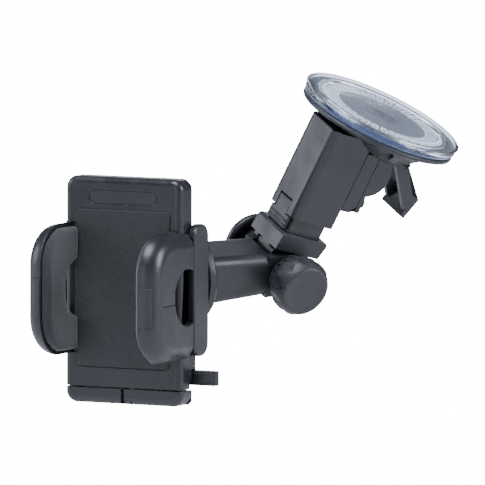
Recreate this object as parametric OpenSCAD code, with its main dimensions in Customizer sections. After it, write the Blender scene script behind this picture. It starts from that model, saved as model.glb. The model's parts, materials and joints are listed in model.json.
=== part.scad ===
// Windshield phone mount: suction base, telescoping post, elbow arm, swivel ball and
// a cradle whose two padded jaws slide apart on racks. Sizes are in millimetres.
// The centre of the suction face is the origin. The cradle stands upright along +Z
// and faces -Y, so its jaws slide along X.

/* [Cradle] */
// Width of the cradle's cover
cradle_w = 61.6; // [60:0.2:64]
// Height of the cover above the centre of the grip pad
cradle_up = 52.6; // [51:0.2:56]
// Depth of the cover below the centre of the grip pad
cradle_down = 46.6; // [46.2:0.2:48]
// Thickness of the cover and its back plate together
cover_t = 12; // [11.6:0.1:13]
// Wall of the cover and of the rear housing
shell_wall = 2.4; // [1.8:0.1:2.6]
// Radius of the cover's corners, seen from the front
cover_corner = 5.5; // [4.5:0.1:6.5]
// Radius along the cover's front edges
cover_edge = 3.4; // [2:0.1:4]
// Depth of the rear housing behind the back plate
housing_t = 10.8; // [10.4:0.1:12]
// Width of the rear housing
housing_w = 57.2; // [56:0.2:58]
// Top of the rear housing above the pad's centre
housing_up = 31.4; // [31:0.1:34]
// Width of the grip pad
pad_w = 50; // [44:0.5:52]
// Height of the grip pad
pad_h = 74.4; // [66:0.2:76]
// Thickness of the grip pad
pad_t = 1.6; // [1.2:0.1:1.8]
// How far the pad stands out of the cover
pad_proud = 0.4; // [0.2:0.1:0.8]

/* [Jaws] */
// Gap between each jaw's slide and the side of the cover
jaw_gap = 0.7; // [0.5:0.1:2]
// How far each jaw slides out
jaw_travel = 20; // [10:1:20]
// How far the jaws reach in front of the pad
jaw_reach = 33.4; // [30:0.2:36]
// Height of a jaw's shell
jaw_h = 61.8; // [58:0.2:63]
// Depth of a jaw from its outer face to the pad's inner face
jaw_depth = 12.2; // [11:0.1:13]
// Wall of a jaw's shell
jaw_wall = 2.4; // [1.8:0.1:2.8]
// Corner radius of a jaw's shell, seen from the side
jaw_corner = 19; // [14:0.5:22]
// Radius between a jaw's outer face and its edge
jaw_edge = 8.4; // [6:0.1:9]
// Height of the strip at the back of each jaw
strip_h = 62.4; // [60:0.2:64]
// Depth of that strip, front to back
strip_d = 14.8; // [13:0.2:16]
// Radius of the round window through each jaw
window_r = 13.4; // [10:0.1:14]
// Height of each jaw's front clip
clip_h = 18; // [12:0.5:22]
// How far the two jaws are staggered from each other's height
jaw_stagger = 1.2; // [0:0.1:2]

/* [Jaw drive] */
// Tooth module of the pinion and racks
gear_m = 1; // [1]
// Number of teeth on the pinion
gear_n = 12; // [12]
// Thickness of the rack arms
rack_t = 4; // [3:0.1:5]
// Height of a rack arm above its tooth roots
rack_h = 5.8; // [5:0.1:6.5]
// Pitch of the ratchet teeth
ratchet_pitch = 2.5; // [2:0.1:3]
// How far the release lever stands out of the housing
lever_out = 14.2; // [10:0.2:16]
// Height of the release lever
lever_h = 6.8; // [5:0.1:7]
// How far the release lever is pressed in
lever_stroke = 3; // [1:0.1:3]

/* [Feet] */
// Height of the two swing-out feet
foot_h = 7.4; // [6:0.1:9]
// Gap between the cover and the feet
foot_gap = 0.6; // [0.4:0.1:1]
// Distance of each foot's pin from the middle
foot_pin_x = 26.4; // [26:0.1:26.6]
// Radius of the foot pins
foot_pin_r = 1.5; // [1.2:0.1:1.8]
// Wall of a foot's knuckle round its pin
foot_knuckle = 1.2; // [1:0.1:1.4]

/* [Swivel ball] */
// Radius of the ball
ball_r = 10; // [9.4:0.1:10.4]
// Distance of the ball's centre from the face of the grip pad
ball_back = 45; // [44.6:0.2:48]
// Radius of the shank the ball turns on
shank_r = 2.6; // [2.2:0.1:2.8]
// Radius of the stud's round plate
stud_plate_r = 16; // [15:0.5:17]
// Thickness of the stud's round plate
stud_plate_t = 2.4; // [2:0.1:3]
// Outer radius of the lock ring and of the arm's flange
ring_r = 21.5; // [20.5:0.1:22]
// Turn of the arm to the side, away from straight behind the cradle
swivel_yaw = 34; // [20:1:34]
// Rise of the arm from the ball
swivel_pitch = 4; // [0:1:6]
// Roll of the arm about its own length
swivel_roll = 22.5; // [0:0.5:30]

/* [Arm] */
// Distance from the ball's centre to the elbow's bolt
arm_reach = 60; // [56:0.5:66]
// Width of the arm, along the elbow's bolt
arm_w = 24.6; // [24:0.1:26]
// Height of the arm at the flange
arm_h_root = 25; // [23:0.2:27]
// Height of the arm at the elbow, which is also the width of its round cheeks
arm_h_tip = 21.4; // [20:0.2:22]
// Radius of the arm's long edges
arm_edge = 5; // [3:0.1:6]

/* [Elbow] */
// Angle between the arm and the post
elbow_angle = 70; // [55:1:80]
// Half width of the post's tongue in the elbow
tongue_half = 6.9; // [5:0.1:7.4]
// Thickness of each friction washer
washer_t = 1; // [0.8:0.1:1.4]
// Radius of the elbow's bolt
bolt_r = 3; // [2.4:0.1:3.4]
// Largest radius of the elbow's knob and of its rear cap
knob_r = 14.2; // [12.5:0.1:14.5]
// Length of the knob
knob_l = 17.6; // [15:0.2:19]
// Number of flutes round the knob
knob_flutes = 10; // [8:1:14]

/* [Post] */
// Width of the square sleeve
sleeve_w = 24.6; // [24:0.1:25.2]
// Distance from the elbow's bolt to the sleeve's lower end
sleeve_low = 27.5; // [26.5:0.5:30]
// Length of the sleeve
sleeve_l = 47.5; // [46:0.5:48]
// Wall of the sleeve
sleeve_wall = 2.2; // [1.8:0.1:2.6]
// Wall of the inner tube
tube_wall = 2.2; // [1.8:0.1:3]
// How far the inner tube pulls out
post_travel = 30; // [20:1:30]
// Height of the collar at the elbow
collar_h = 8.6; // [7:0.1:9]
// Width of the collar across the sleeve's side faces
collar_w = 27.4; // [26:0.1:28.5]

/* [Suction base] */
// Radius of the suction cup
cup_r = 40; // [39:0.5:44]
// Thickness of the suction cup at its middle
cup_t = 2.6; // [2:0.1:3.2]
// Radius of the base's black rim
rim_r = 36.6; // [36:0.1:38]
// Thickness of that rim
rim_t = 3.8; // [3.6:0.1:5]
// Depth of the dome below the suction face
dome_depth = 20.4; // [20:0.1:21]
// Number of moulded cells on the backing disc
cell_n = 36; // [24:1:40]
// Distance of the pivot below the suction face
pivot_depth = 26; // [25.6:0.1:26.4]
// Distance of the pivot from the cup's axis
pivot_side = 5.4; // [5:0.1:5.8]
// Sideways distance from the post's middle to the cup's axis
post_offset = 8; // [7:0.5:8.5]
// Radius of the pivot's pin
pivot_r = 3.2; // [2.8:0.1:3.4]
// Radius of the pivot's bearing caps
pivot_cap_r = 12.6; // [12:0.1:12.8]

/* [Suction lever] */
// Width of the suction lever
suck_w = 18.6; // [16:0.2:19]
// Height of its thumb plate
suck_plate_h = 11.4; // [9:0.2:12]
// Distance of the lever's pin from the cup's axis
suck_pin_y = 12; // [12:0.2:13]
// Distance of the lever's pin below the suction face
suck_pin_z = 16.4; // [16:0.1:16.8]
// Stroke of the stud that the lever pulls
suck_stroke = 2.4; // [1:0.1:2.4]

/* [Hidden] */

$fn = 96;

// Clearances: between parts that turn on each other, that slide past each other,
// and that are only fitted together
run = 0.05;
gap = 0.3;
seat = 0.15;
eps = 0.01;

// Colours of the mouldings, rubber, foam, steel and clear plastic
black = [0.09, 0.09, 0.10];
charcoal = [0.15, 0.15, 0.16];
rubber = [0.12, 0.12, 0.12];
foam = [0.22, 0.22, 0.23];
steel = [0.62, 0.63, 0.65];
brass = [0.72, 0.58, 0.30];
clear = [0.72, 0.80, 0.92, 0.45];
grey = [0.66, 0.67, 0.70];

// Cradle, seen with the pad's face at y = 0 and its centre at the frame's origin
cover_front = pad_proud;
back_plate_t = 2.2;
cover_back = cover_front + cover_t - back_plate_t;
plate_back = cover_front + cover_t;
housing_back = plate_back + housing_t;
cavity_back = housing_back - shell_wall;
foot_top = -cradle_down - foot_gap;
foot_bottom = foot_top - foot_h;
foot_pin_y = cover_front + cover_t * 0.58;
badge_w = 36;
badge_h = 6.6;
badge_z = cradle_up - 9.6;
cover_bosses = [[-24, cradle_up - 7.4], [24, cradle_up - 7.4], [-20, -38], [3, -38]];
boss_r = 3;
pin_front = cover_front + 5;
pin_end = cavity_back + 1.2;
cover_screw_r = 1.4;
screw_head_r = 2.6;
screw_head_t = 1.4;

// Jaws, for the right-hand one; the left-hand one is its mirror image
// The jaws close on whichever is wider, the cover or the rear housing
side_out = max(cradle_w, housing_w) / 2;
jaw_in = side_out + jaw_gap;
jaw_out = jaw_in + 3.2;
strip_front = 6.5;
strip_back = strip_front + strip_d;
jaw_mid = -1.2;
frame_t = 2.2;
pad_in = jaw_out - jaw_depth;
lip_in = jaw_out - jaw_edge - 0.2;
jaw_rear = -0.4;
web_in = side_out + gap;
window_y = 0.4;
window_flat = strip_front + 1;
seam_w = 0.6;
seam_z = -2.6;
clip_t = 0.7;

// Jaw drive
pitch_r = gear_m * gear_n / 2;
tooth_add = 0.9 * gear_m;
tooth_ded = 1.2 * gear_m;
pressure = 25;
backlash = 0.3;
rack_mid = plate_back + 3.4;
pinion_pin_r = 2;
guide_h = 6;
guide_z = 22;
guide_l = 31;
rack_tail = 24;
ratchet_h = 1.5;
lever_z = -41.6;
lever_t = 6;
lever_in = 13;
pawl_x = 12;
pawl_z = -36;
pawl_pin_r = 1.5;
pawl_nose = [9, 6.2 - ratchet_h];
pawl_tail = 7;
finger_h = 2.4;
spring_r = 8.4;
pawl_t = 3;

// Swivel ball
ball_z = 2;
shoulder = ball_back - ball_r - 0.2;
ring_front = 8;
ring_t_thread = 4.2;
socket_depth = 12.2;
flange_t = 4.5;
socket_out = ring_r - ring_t_thread;
seat_r = 12.9;
vent_r = 1.2;

// Elbow
cheek_r = arm_h_tip / 2;
cheek_in = tongue_half + 0.3 + washer_t;
arm_half = arm_w / 2;
knob_start = arm_half + gap;
cap_hub = 9.6;
cap_disc = 5;
insert_r = 5;

// Post
tube_w = sleeve_w - 2 * sleeve_wall - 2 * gap;
collar_low = cheek_r + 0.6;
collar_top = collar_low + collar_h;
sleeve_top = sleeve_low + sleeve_l;
latch_w = 16;
latch_t = 2;

// Suction base, with the suction face at z = 0 and the base below it
rim_top = -cup_t - 1.6;
rim_low = rim_top - rim_t;
disc_r = rim_r - 3;
base_screw_angles = [25, 155, 195, 345];
base_screw_at = 26;
stud_r = 2.6;
yoke_half = 2;
crank_e = 2.95;
hub_r = 4.2;
lever_x = 4.5;
stud_head_r = 8;
pivot_in_cup = [0, -pivot_side, -pivot_depth];
post_side = sleeve_w / 2 + 7.1;
pocket_r = pivot_cap_r + 0.6;
tongue_r = 6.8;
ear_near = [sleeve_w / 2 - 6.3, sleeve_w / 2];
ear_far = [ear_near[0] - 26, ear_near[0] - 19.7];
tongue_span = [ear_far[1] + gap, ear_near[0] - gap];
cup_reach = post_side + pivot_side;
cup_rise = sleeve_top + 9.2;
pivot_up = cup_rise - pivot_depth;

// Frames: each turns a vector of one frame into the next one out
function turn_x(v, a) = [v.x, v.y * cos(a) - v.z * sin(a), v.y * sin(a) + v.z * cos(a)];
function turn_y(v, a) = [v.x * cos(a) + v.z * sin(a), v.y, -v.x * sin(a) + v.z * cos(a)];
function turn_z(v, a) = [v.x * cos(a) - v.y * sin(a), v.x * sin(a) + v.y * cos(a), v.z];
function arm_to_cradle(v) = [0, ball_back, ball_z]
    + turn_z(turn_x(turn_y(v, swivel_roll), swivel_pitch), -swivel_yaw);
function post_to_arm(v) = [0, arm_reach, 0] + turn_x(v, elbow_angle - 90);
suction_centre = arm_to_cradle(post_to_arm([-post_offset, cup_reach, cup_rise]));

module in_cradle() { translate(-suction_centre) children(); }
module in_arm() {
    in_cradle() translate([0, ball_back, ball_z])
        rotate([0, 0, -swivel_yaw]) rotate([swivel_pitch, 0, 0]) rotate([0, swivel_roll, 0])
            children();
}
module in_elbow() { in_arm() translate([0, arm_reach, 0]) children(); }
module in_post() { in_elbow() rotate([elbow_angle - 90, 0, 0]) children(); }
module in_pivot() { in_post() translate([0, post_side, pivot_up]) children(); }
module in_cup() { in_post() translate([-post_offset, cup_reach, cup_rise]) children(); }

// ---------- Shapes that repeat ----------

// Rectangle with round corners
module round_rect(x0, x1, y0, y1, r) {
    translate([x0 + r, y0]) square([x1 - x0 - 2 * r, y1 - y0]);
    translate([x0, y0 + r]) square([x1 - x0, y1 - y0 - 2 * r]);
    for (x = [x0 + r, x1 - r], y = [y0 + r, y1 - r]) translate([x, y]) circle(r);
}

// Section of a slab's rim, from its corner's centre out to r, with a top edge of radius f
module rim_section(depth, r, f) {
    translate([0, -depth]) square([r - f, depth]);
    translate([r - f, -depth]) square([f, depth - f]);
    translate([r - f, -f]) intersection() {
        circle(f);
        square(f);
    }
}

// Slab below z = 0 with corners of radius r and a top edge of radius f. With tail, its
// far end along x is cut square instead
module slab(x0, x1, y0, y1, depth, r, f, tail = false) {
    xa = x0 + r;
    xb = tail ? x1 : x1 - r;
    ya = y0 + r;
    yb = y1 - r;
    block([xa, ya, -depth], [xb, yb, 0]);
    translate([xa, yb, 0]) rotate([90, 0, 90]) linear_extrude(xb - xa) rim_section(depth, r, f);
    translate([xb, ya, 0]) rotate([90, 0, 270]) linear_extrude(xb - xa) rim_section(depth, r, f);
    translate([xa, ya, 0]) rotate([90, 0, 180]) linear_extrude(yb - ya) rim_section(depth, r, f);
    translate([xa, yb, 0]) rotate(90) rotate_extrude(angle = 90) rim_section(depth, r, f);
    translate([xa, ya, 0]) rotate(180) rotate_extrude(angle = 90) rim_section(depth, r, f);
    if (!tail) {
        translate([xb, yb, 0]) rotate([90, 0, 0]) linear_extrude(yb - ya) rim_section(depth, r, f);
        translate([xb, yb, 0]) rotate_extrude(angle = 90) rim_section(depth, r, f);
        translate([xb, ya, 0]) rotate(270) rotate_extrude(angle = 90) rim_section(depth, r, f);
    }
}

// Stands a slab up so that its top faces forward, along -Y
module facing_front(y) { translate([0, y, 0]) rotate([90, 0, 0]) children(); }
// Stands a slab up so that its top faces back, along +Y
module facing_back(y) { translate([0, y, 0]) rotate([90, 0, 180]) children(); }
// Stands a slab up so that its top faces right; its x runs along Y and its y along Z
module facing_right(x) { translate([x, 0, 0]) rotate([90, 0, 90]) children(); }
module facing_left(x) { translate([x, 0, 0]) rotate([0, 180, 0]) rotate([90, 0, 90]) children(); }

// Rod along X, Y or Z from one place to another
module rod_x(x0, x1, r) { translate([x0, 0, 0]) rotate([0, 90, 0]) cylinder(h = x1 - x0, r = r); }
module rod_y(y0, y1, r) { translate([0, y0, 0]) rotate([-90, 0, 0]) cylinder(h = y1 - y0, r = r); }
module rod_z(z0, z1, r) { translate([0, 0, z0]) cylinder(h = z1 - z0, r = r); }

// Box from one corner to the other
module block(a, b) { translate(a) cube(b - a); }

// Screw along +Y from its head's outer face at y = 0, going towards -Y
module screw_back(l, r, head_r, head_t) {
    rod_y(-head_t, 0, head_r);
    rod_y(-l, -head_t, r);
}

// ---------- Suction base ----------

module cup_profile() {
    polygon([
        [0, -0.5], [cup_r - 10, -0.5], [cup_r - 9, 0], [cup_r, 0], [cup_r, -0.9],
        [cup_r - 3, -1.8], [cup_r - 6, -cup_t], [0, -cup_t]
    ]);
}

module suction_cup() {
    color(clear) in_cup() rotate_extrude() cup_profile();
}

// One moulded cell: a wedge between two radii
module cell(r0, r1, share) {
    a = 360 / cell_n * share / 2;
    polygon([
        [r0 * cos(a), -r0 * sin(a)], [r1 * cos(a), -r1 * sin(a)],
        [r1 * cos(a), r1 * sin(a)], [r0 * cos(a), r0 * sin(a)]
    ]);
}

module backing_disc() {
    top = -cup_t - seat;
    color(grey) in_cup() difference() {
        rod_z(rim_top + seat, top, disc_r);
        rod_z(rim_top - 1, top + 1, stud_head_r + gap);
        translate([0, 0, top - 0.7]) linear_extrude(1)
            for (i = [0 : cell_n - 1]) rotate(i * 360 / cell_n) cell(disc_r - 11, disc_r - 2, 0.72);
    }
}

// Revolved outline of the black base: rim, shoulder and dome
module housing_profile() {
    polygon([
        [0, rim_top], [rim_r - 1, rim_top], [rim_r, rim_top - 1], [rim_r, rim_low + 1.2],
        [rim_r - 1.4, rim_low], [30, rim_low - 0.6], [28, -11.2], [19, 1.6 - dome_depth],
        [16.4, 0.5 - dome_depth], [13, -dome_depth], [0, -dome_depth]
    ]);
}

module base_housing() {
    color(black) in_cup() difference() {
        union() {
            rotate_extrude() housing_profile();
            tongue_solid();
        }
        // Room for the sleeve and for its bearing caps
        block([cup_x(ear_far[0]) - gap, -rim_r - 1, -dome_depth - 9],
              [cup_x(ear_near[1]) + gap, -pivot_side - 7.1 + gap, rim_low]);
        for (ear = [ear_near, ear_far])
            translate(pivot_in_cup) rod_x(cup_x(ear[0]) - gap, cup_x(ear[1]) + gap, pocket_r);
        translate(pivot_in_cup) rod_x(-60, 60, pivot_r + run);
        // Bore and pocket of the stud, and the slot of the lever
        rod_z(-dome_depth, 0, stud_r + run);
        rod_z(-cup_t - 5.4, 0, stud_head_r + gap);
        block([-suck_w / 2 + 3.8, 2.6, -dome_depth - 1], [suck_w / 2 + 5.2, rim_r - 9, rim_low - 0.4]);
        block([-yoke_half - gap, -2.3, -suck_pin_z - 2.8 - suck_stroke - gap],
              [yoke_half + gap, suck_pin_y, -11]);
        translate([0, suck_pin_y, -suck_pin_z]) rod_x(-12, 20, 1.6 + run);
        for (a = base_screw_angles) rotate(a) translate([base_screw_at, 0, 0]) {
            rod_z(-60, 0, 1.6);
            rod_z(-60, rim_low + 0.6, 3);
        }
    }
}

// Place along X, in the cup's frame, of a place in the post's frame
function cup_x(x) = x + post_offset;

// The knuckle under the dome that the pivot's pin goes through
module tongue_solid() {
    translate(pivot_in_cup) rod_x(cup_x(tongue_span[0]), cup_x(tongue_span[1]), tongue_r);
    block([cup_x(tongue_span[0]), -pivot_side - tongue_r, -pivot_depth],
          [cup_x(tongue_span[1]), -pivot_side + tongue_r, -dome_depth + 4]);
}

module base_screws() {
    color(steel) in_cup() for (a = base_screw_angles) rotate(a) translate([base_screw_at, 0, 0]) {
        rod_z(rim_low - 1, rim_top, 1.45);
        rod_z(rim_low - 1.2, rim_low + 0.6, 2.8);
    }
}

// Disc, shaft and a forked yoke that the lever's crank pulls
module suction_stud() {
    color(steel) in_cup() difference() {
        union() {
            rod_z(-cup_t - 1.7, -cup_t - gap, stud_head_r);
            rod_z(-13.4, -cup_t - 1, stud_r);
            block([-yoke_half, -2, -suck_pin_z - 2.8], [yoke_half, suck_pin_y - 2.1, -12.6]);
        }
        block([-5, suck_pin_y - crank_e - 1.7, -suck_pin_z - 1.3], [5, suck_pin_y, -suck_pin_z + 1.3]);
    }
}

// Drawn from its pin: two hubs with a crank between them, two arms and a thumb plate
module suction_lever() {
    reach = [17, -22];
    half = suck_w / 2;
    color(black) in_cup() translate([lever_x, suck_pin_y, -suck_pin_z]) difference() {
        union() {
            rod_x(-half, -lever_x - yoke_half - gap, hub_r);
            rod_x(-lever_x + yoke_half + gap, half, hub_r);
            translate([0, -crank_e, 0]) rod_x(-lever_x - yoke_half - 1, -lever_x + yoke_half + 1, 1);
            for (side = [-1, 1]) translate([side * (half - 1.4), 0, 0])
                rotate([atan2(reach[1], reach[0]), 0, 0]) block([-1.4, 0, -3.2], [1.4, norm(reach), 3.2]);
            // The thumb plate, with ribs along it
            translate([0, reach[0], reach[1]]) rotate([-18, 0, 0]) {
                block([-half, -1.2, -suck_plate_h / 2], [half, 1.4, suck_plate_h / 2]);
                for (z = [-3.6 : 2.4 : 3.6]) translate([0, 1.4, z]) rod_x(1 - half, half - 1, 0.7);
                block([-half, -3.4, suck_plate_h / 2 - 1.8], [half, 0, suck_plate_h / 2]);
            }
        }
        rod_x(-20, 20, 1.6 + run);
    }
}

module suction_lever_pin() {
    color(steel) in_cup() translate([0, suck_pin_y, -suck_pin_z]) rod_x(-11.8, 19.6, 1.6);
}

// ---------- Sleeve and pivot ----------

module square_tube(w, r) { round_rect(-w / 2, w / 2, -w / 2, w / 2, r); }

module outer_sleeve() {
    half = sleeve_w / 2;
    color(black) in_post() difference() {
        union() {
            translate([0, 0, sleeve_low]) linear_extrude(sleeve_l) square_tube(sleeve_w, 1.6);
            for (ear = [ear_near, ear_far]) ear_solid(ear);
            // Block that carries the far ear behind the sleeve
            block([ear_far[0], half - 8, pivot_up - 19], [-half + 3, half, pivot_up + 8]);
        }
        translate([0, 0, sleeve_low - 1]) linear_extrude(sleeve_l - 1.6)
            square_tube(sleeve_w - 2 * sleeve_wall, 1);
        translate([0, post_side, pivot_up]) {
            rod_x(ear_far[0] + 2.6, ear_near[1] - 2.6, pivot_r);
            // The tongue swings in here
            rod_x(ear_far[1], ear_near[0], tongue_r + gap);
        }
        // Slot of the telescope latch
        block([-latch_w / 2 + 2.7, -half - 1, sleeve_low - 1],
              [latch_w / 2 - 2.7, -half + sleeve_wall + 1, sleeve_low + 7.2]);
        translate([0, -half + latch_t / 2 + 0.1, sleeve_low + 5]) rod_x(-8.4, 8.4, 0.75);
        for (ear = [ear_near, ear_far]) translate([mid_of(ear), post_side + 9, pivot_up - 15])
            rod_y(-12.6, 0, 1.25);
        // Seat of the cap on the upper end
        translate([0, 0, sleeve_top - 2.4]) linear_extrude(3)
            square_tube(sleeve_w - 2 * sleeve_wall + 1.6, 1);
    }
}

function mid_of(span) = (span[0] + span[1]) / 2;

// One ear of the sleeve: the left half of the pivot's bearing
module ear_solid(ear) {
    low = pivot_up - 20.4;
    block([ear[0], sleeve_w / 2 - 0.6, low + 4], [ear[1], post_side - 0.12, pivot_up + 10.4]);
    block([ear[0], sleeve_w / 2 - 0.6, low + 3.9], [ear[1], post_side - 3.4, low + 4.1]);
    translate([0, post_side - 4.12, low + 4]) intersection() {
        rod_x(ear[0], ear[1], 4);
        block([ear[0] - 1, -8, -5], [ear[1] + 1, 4, 0.5]);
    }
    block([ear[0], sleeve_w / 2 - 0.6, low], [ear[1], post_side - 4.12, low + 4.2]);
}

module sleeve_cap() {
    color(black) in_post() translate([0, 0, sleeve_top - 2.4]) linear_extrude(2.4)
        square_tube(sleeve_w - 2 * sleeve_wall + 1.6 - 2 * seat, 1);
}

// Right half of the bearing: a half disc on a half disc, and a tail with its screw
module pivot_cap(ear, face) {
    step = face > 0 ? [mid_of(ear), ear[1]] : [ear[0], mid_of(ear)];
    under = face > 0 ? [ear[0], mid_of(ear)] : [mid_of(ear), ear[1]];
    color(black) in_pivot() difference() {
        union() {
            intersection() {
                union() {
                    rod_x(step[0], step[1], pivot_cap_r - 1.9);
                    rod_x(under[0], under[1], pivot_cap_r);
                }
                block([ear[0], 0.12, -pivot_cap_r - 1], [ear[1], pivot_cap_r + 1, pivot_cap_r + 1]);
            }
            block([ear[0], 0.12, -19.6], [ear[1], 2.6, -8]);
        }
        if (face > 0) rod_x(ear[0] - 1, ear[1] - 2.6, pivot_r);
        else rod_x(ear[0] + 2.6, ear[1] + 1, pivot_r);
        translate([mid_of(ear), 9, -15]) rod_y(-9.4, 0, 1.5);
    }
}

module near_pivot_cap() { pivot_cap(ear_near, 1); }
module far_pivot_cap() { pivot_cap(ear_far, -1); }

module pivot_pin() {
    color(steel) in_pivot() rod_x(ear_far[0] + 2.6, ear_near[1] - 2.6, pivot_r);
}

module pivot_cap_screws() {
    color(steel) in_pivot() for (ear = [ear_near, ear_far])
        translate([mid_of(ear), 4, -15]) screw_back(7, 1.2, 2.4, screw_head_t);
}

module telescope_latch() {
    half = sleeve_w / 2;
    face = -tube_w / 2 - gap;
    color(charcoal) in_post() difference() {
        union() {
            block([-latch_w / 2, face - latch_t, collar_top + 0.6],
                    [latch_w / 2, face, sleeve_low - 2 * gap]);
            block([-latch_w / 2 + 3, face - latch_t, sleeve_low - 2 * gap - eps],
                  [latch_w / 2 - 3, face, sleeve_low + 6.2]);
            for (z = [collar_top + 2, collar_top + 4.4])
                translate([0, face - latch_t, z]) rod_x(-latch_w / 2 + 0.6, latch_w / 2 - 0.6, 0.7);
        }
        translate([0, -half + latch_t / 2 + 0.1, sleeve_low + 5]) rod_x(-20, 20, 0.75 + run);
    }
}

module latch_pin() {
    color(steel) in_post()
        translate([0, -sleeve_w / 2 + latch_t / 2 + 0.1, sleeve_low + 5]) rod_x(-8.4, 8.4, 0.75);
}

// ---------- Post ----------

module inner_tube() {
    top = sleeve_top - 4;
    color(charcoal) in_post() difference() {
        translate([0, 0, collar_low + 1.6]) linear_extrude(top - collar_low - 1.6) difference() {
            square_tube(tube_w, 1);
            square_tube(tube_w - 2 * tube_wall, 0.6);
        }
        // Notches down the face that the latch presses on
        for (z = [sleeve_low + 8 : 4.5 : top - 4])
            block([-4, -tube_w, z], [4, -tube_w / 2 + 0.9, z + 1.6]);
        translate([0, 0, collar_low + 5]) rod_y(0, 20, 1.3);
    }
}

module elbow_collar() {
    half = collar_w / 2;
    side = arm_half;
    color(black) in_post() difference() {
        union() {
            // The flared box that holds the tube
            rotate([90, 0, 90]) translate([0, 0, -side]) linear_extrude(2 * side) polygon([
                [-half - 0.4, collar_low], [half - 1.8, collar_low], [half, collar_top - 1.4],
                [half - 1, collar_top], [-half + 1.4, collar_top], [-half + 0.2, collar_top - 1]
            ]);
            // The tongue between the arm's cheeks
            rod_x(-tongue_half, tongue_half, cheek_r);
            block([-tongue_half, -cheek_r, 0], [tongue_half, cheek_r, collar_low + 1]);
            // Two short ribs below the face
            for (x = [-side + 5.5, side - 5.5])
                block([x - 1.6, -half + 0.2, collar_low - 1.8], [x + 1.6, -half + 3, collar_low + 1]);
        }
        translate([0, 0, collar_low + 1.6]) linear_extrude(collar_h) square_tube(tube_w + 2 * seat, 1);
        rod_x(-20, 20, bolt_r + run);
        translate([0, 0, collar_low + 5]) {
            rod_y(0, 20, 1.5);
            rod_y(collar_w / 2 - 1.2, 20, 2.5);
        }
    }
}

module collar_screw() {
    color(steel) in_post() translate([0, collar_w / 2 + 0.2, collar_low + 5])
        screw_back(6.2, 1.25, 2.2, 1.2);
}

// ---------- Arm ----------

// Cross-section of the arm as a thin plate, for the tapered body
module arm_section(h) {
    rotate([-90, 0, 0]) linear_extrude(0.2) union() {
        round_rect(-arm_half, arm_half, -h / 2, h / 2, arm_edge, $fn = 48);
    }
}

module arm() {
    root = socket_depth + flange_t;
    color(black) in_arm() difference() {
        union() {
            hull() {
                translate([0, root - 0.4, 0]) arm_section(arm_h_root);
                translate([0, arm_reach - cheek_r + 0.4, 0]) arm_section(arm_h_tip);
            }
            rod_y(socket_depth, root - 0.8, ring_r);
            rod_y(root - 0.8, root, ring_r - 0.8);
            rod_y(-0.6, socket_depth + 0.4, socket_out - gap);
            // Two round cheeks either side of the tongue
            for (side = [[-arm_half, -cheek_in], [cheek_in, arm_half]]) {
                translate([0, arm_reach, 0]) rod_x(side[0], side[1], cheek_r);
                block([side[0], arm_reach - cheek_r - 0.6, -cheek_r], [side[1], arm_reach, cheek_r]);
            }
        }
        // Pocket of the ball's seat, and the hollow of the body behind it
        rod_y(-2, socket_depth - 0.6, seat_r + seat);
        block([-arm_half + 3, root, -arm_h_tip / 2 + 3],
              [arm_half - 3, arm_reach - cheek_r - 4, arm_h_tip / 2 - 3]);
        rod_y(0, root + 1, 5);
        translate([0, arm_reach, 0]) {
            rod_x(-cheek_in, cheek_in, cheek_r + 0.7);
            block([-cheek_in, 0, -20], [cheek_in, 20, 20]);
            rod_x(-20, 20, bolt_r + run);
        }
    }
}

module friction_washers() {
    color(grey) in_elbow() for (side = [-1, 1]) difference() {
        rod_x(min(side * cheek_in, side * (cheek_in - washer_t)),
              max(side * cheek_in, side * (cheek_in - washer_t)), cheek_r - 1.6);
        rod_x(-20, 20, bolt_r + run);
    }
}

module elbow_bolt() {
    color(steel) in_elbow() rod_x(-arm_half - cap_hub - 2, knob_start + knob_l - 4, bolt_r);
}

module rear_cap() {
    start = -arm_half - cap_hub;
    color(black) in_elbow() difference() {
        union() {
            rod_x(start, -arm_half, 7.6);
            rotate([0, -90, 0]) translate([0, 0, -start]) rotate_extrude() polygon([
                [0, 0], [knob_r - 1.2, 0], [knob_r, 1], [knob_r, cap_disc - 1.6],
                [knob_r - 2, cap_disc], [0, cap_disc]
            ]);
        }
        rod_x(start - 2, 0, bolt_r + run);
        // Recess round the hub
        difference() {
            rod_x(start - 2.2, start + 1, knob_r - 3);
            rod_x(start - 3, start + 2, 7.6);
        }
    }
}

// Outline of the knob, from its hub to its dished front
module knob_profile() {
    l = knob_l;
    polygon([
        [0, 0], [knob_r - 3.4, 0], [knob_r - 1.2, l * 0.34], [knob_r - 0.2, l * 0.46],
        [knob_r, l * 0.55], [knob_r, l * 0.74], [knob_r - 1.7, l - 1.2], [knob_r - 2.6, l - 0.2],
        [knob_r - 3.4, l], [knob_r - 4.2, l - 0.1], [knob_r * 0.35, l - 0.9], [0, l - 0.9]
    ]);
}

module elbow_knob() {
    color(charcoal) in_elbow() translate([knob_start, 0, 0]) rotate([0, 90, 0]) difference() {
        rotate_extrude() knob_profile();
        for (i = [0 : knob_flutes - 1]) rotate(i * 360 / knob_flutes)
            translate([knob_r + 4.6, 0, knob_l * 0.4]) cylinder(h = knob_l, r = 5.4);
        for (i = [0 : 2 * knob_flutes - 1]) rotate((i + 0.5) * 180 / knob_flutes)
            translate([knob_r - 4.4, -0.5, knob_l * 0.12]) cube([6, 1, knob_l * 0.14]);
        translate([0, 0, -1]) cylinder(h = knob_l - 2.6, r = insert_r);
    }
}

module knob_insert() {
    color(brass) in_elbow() translate([knob_start, 0, 0]) difference() {
        rod_x(0, knob_l - 3.6, insert_r);
        rod_x(-1, knob_l, bolt_r + run);
    }
}

// ---------- Swivel ball ----------

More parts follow.
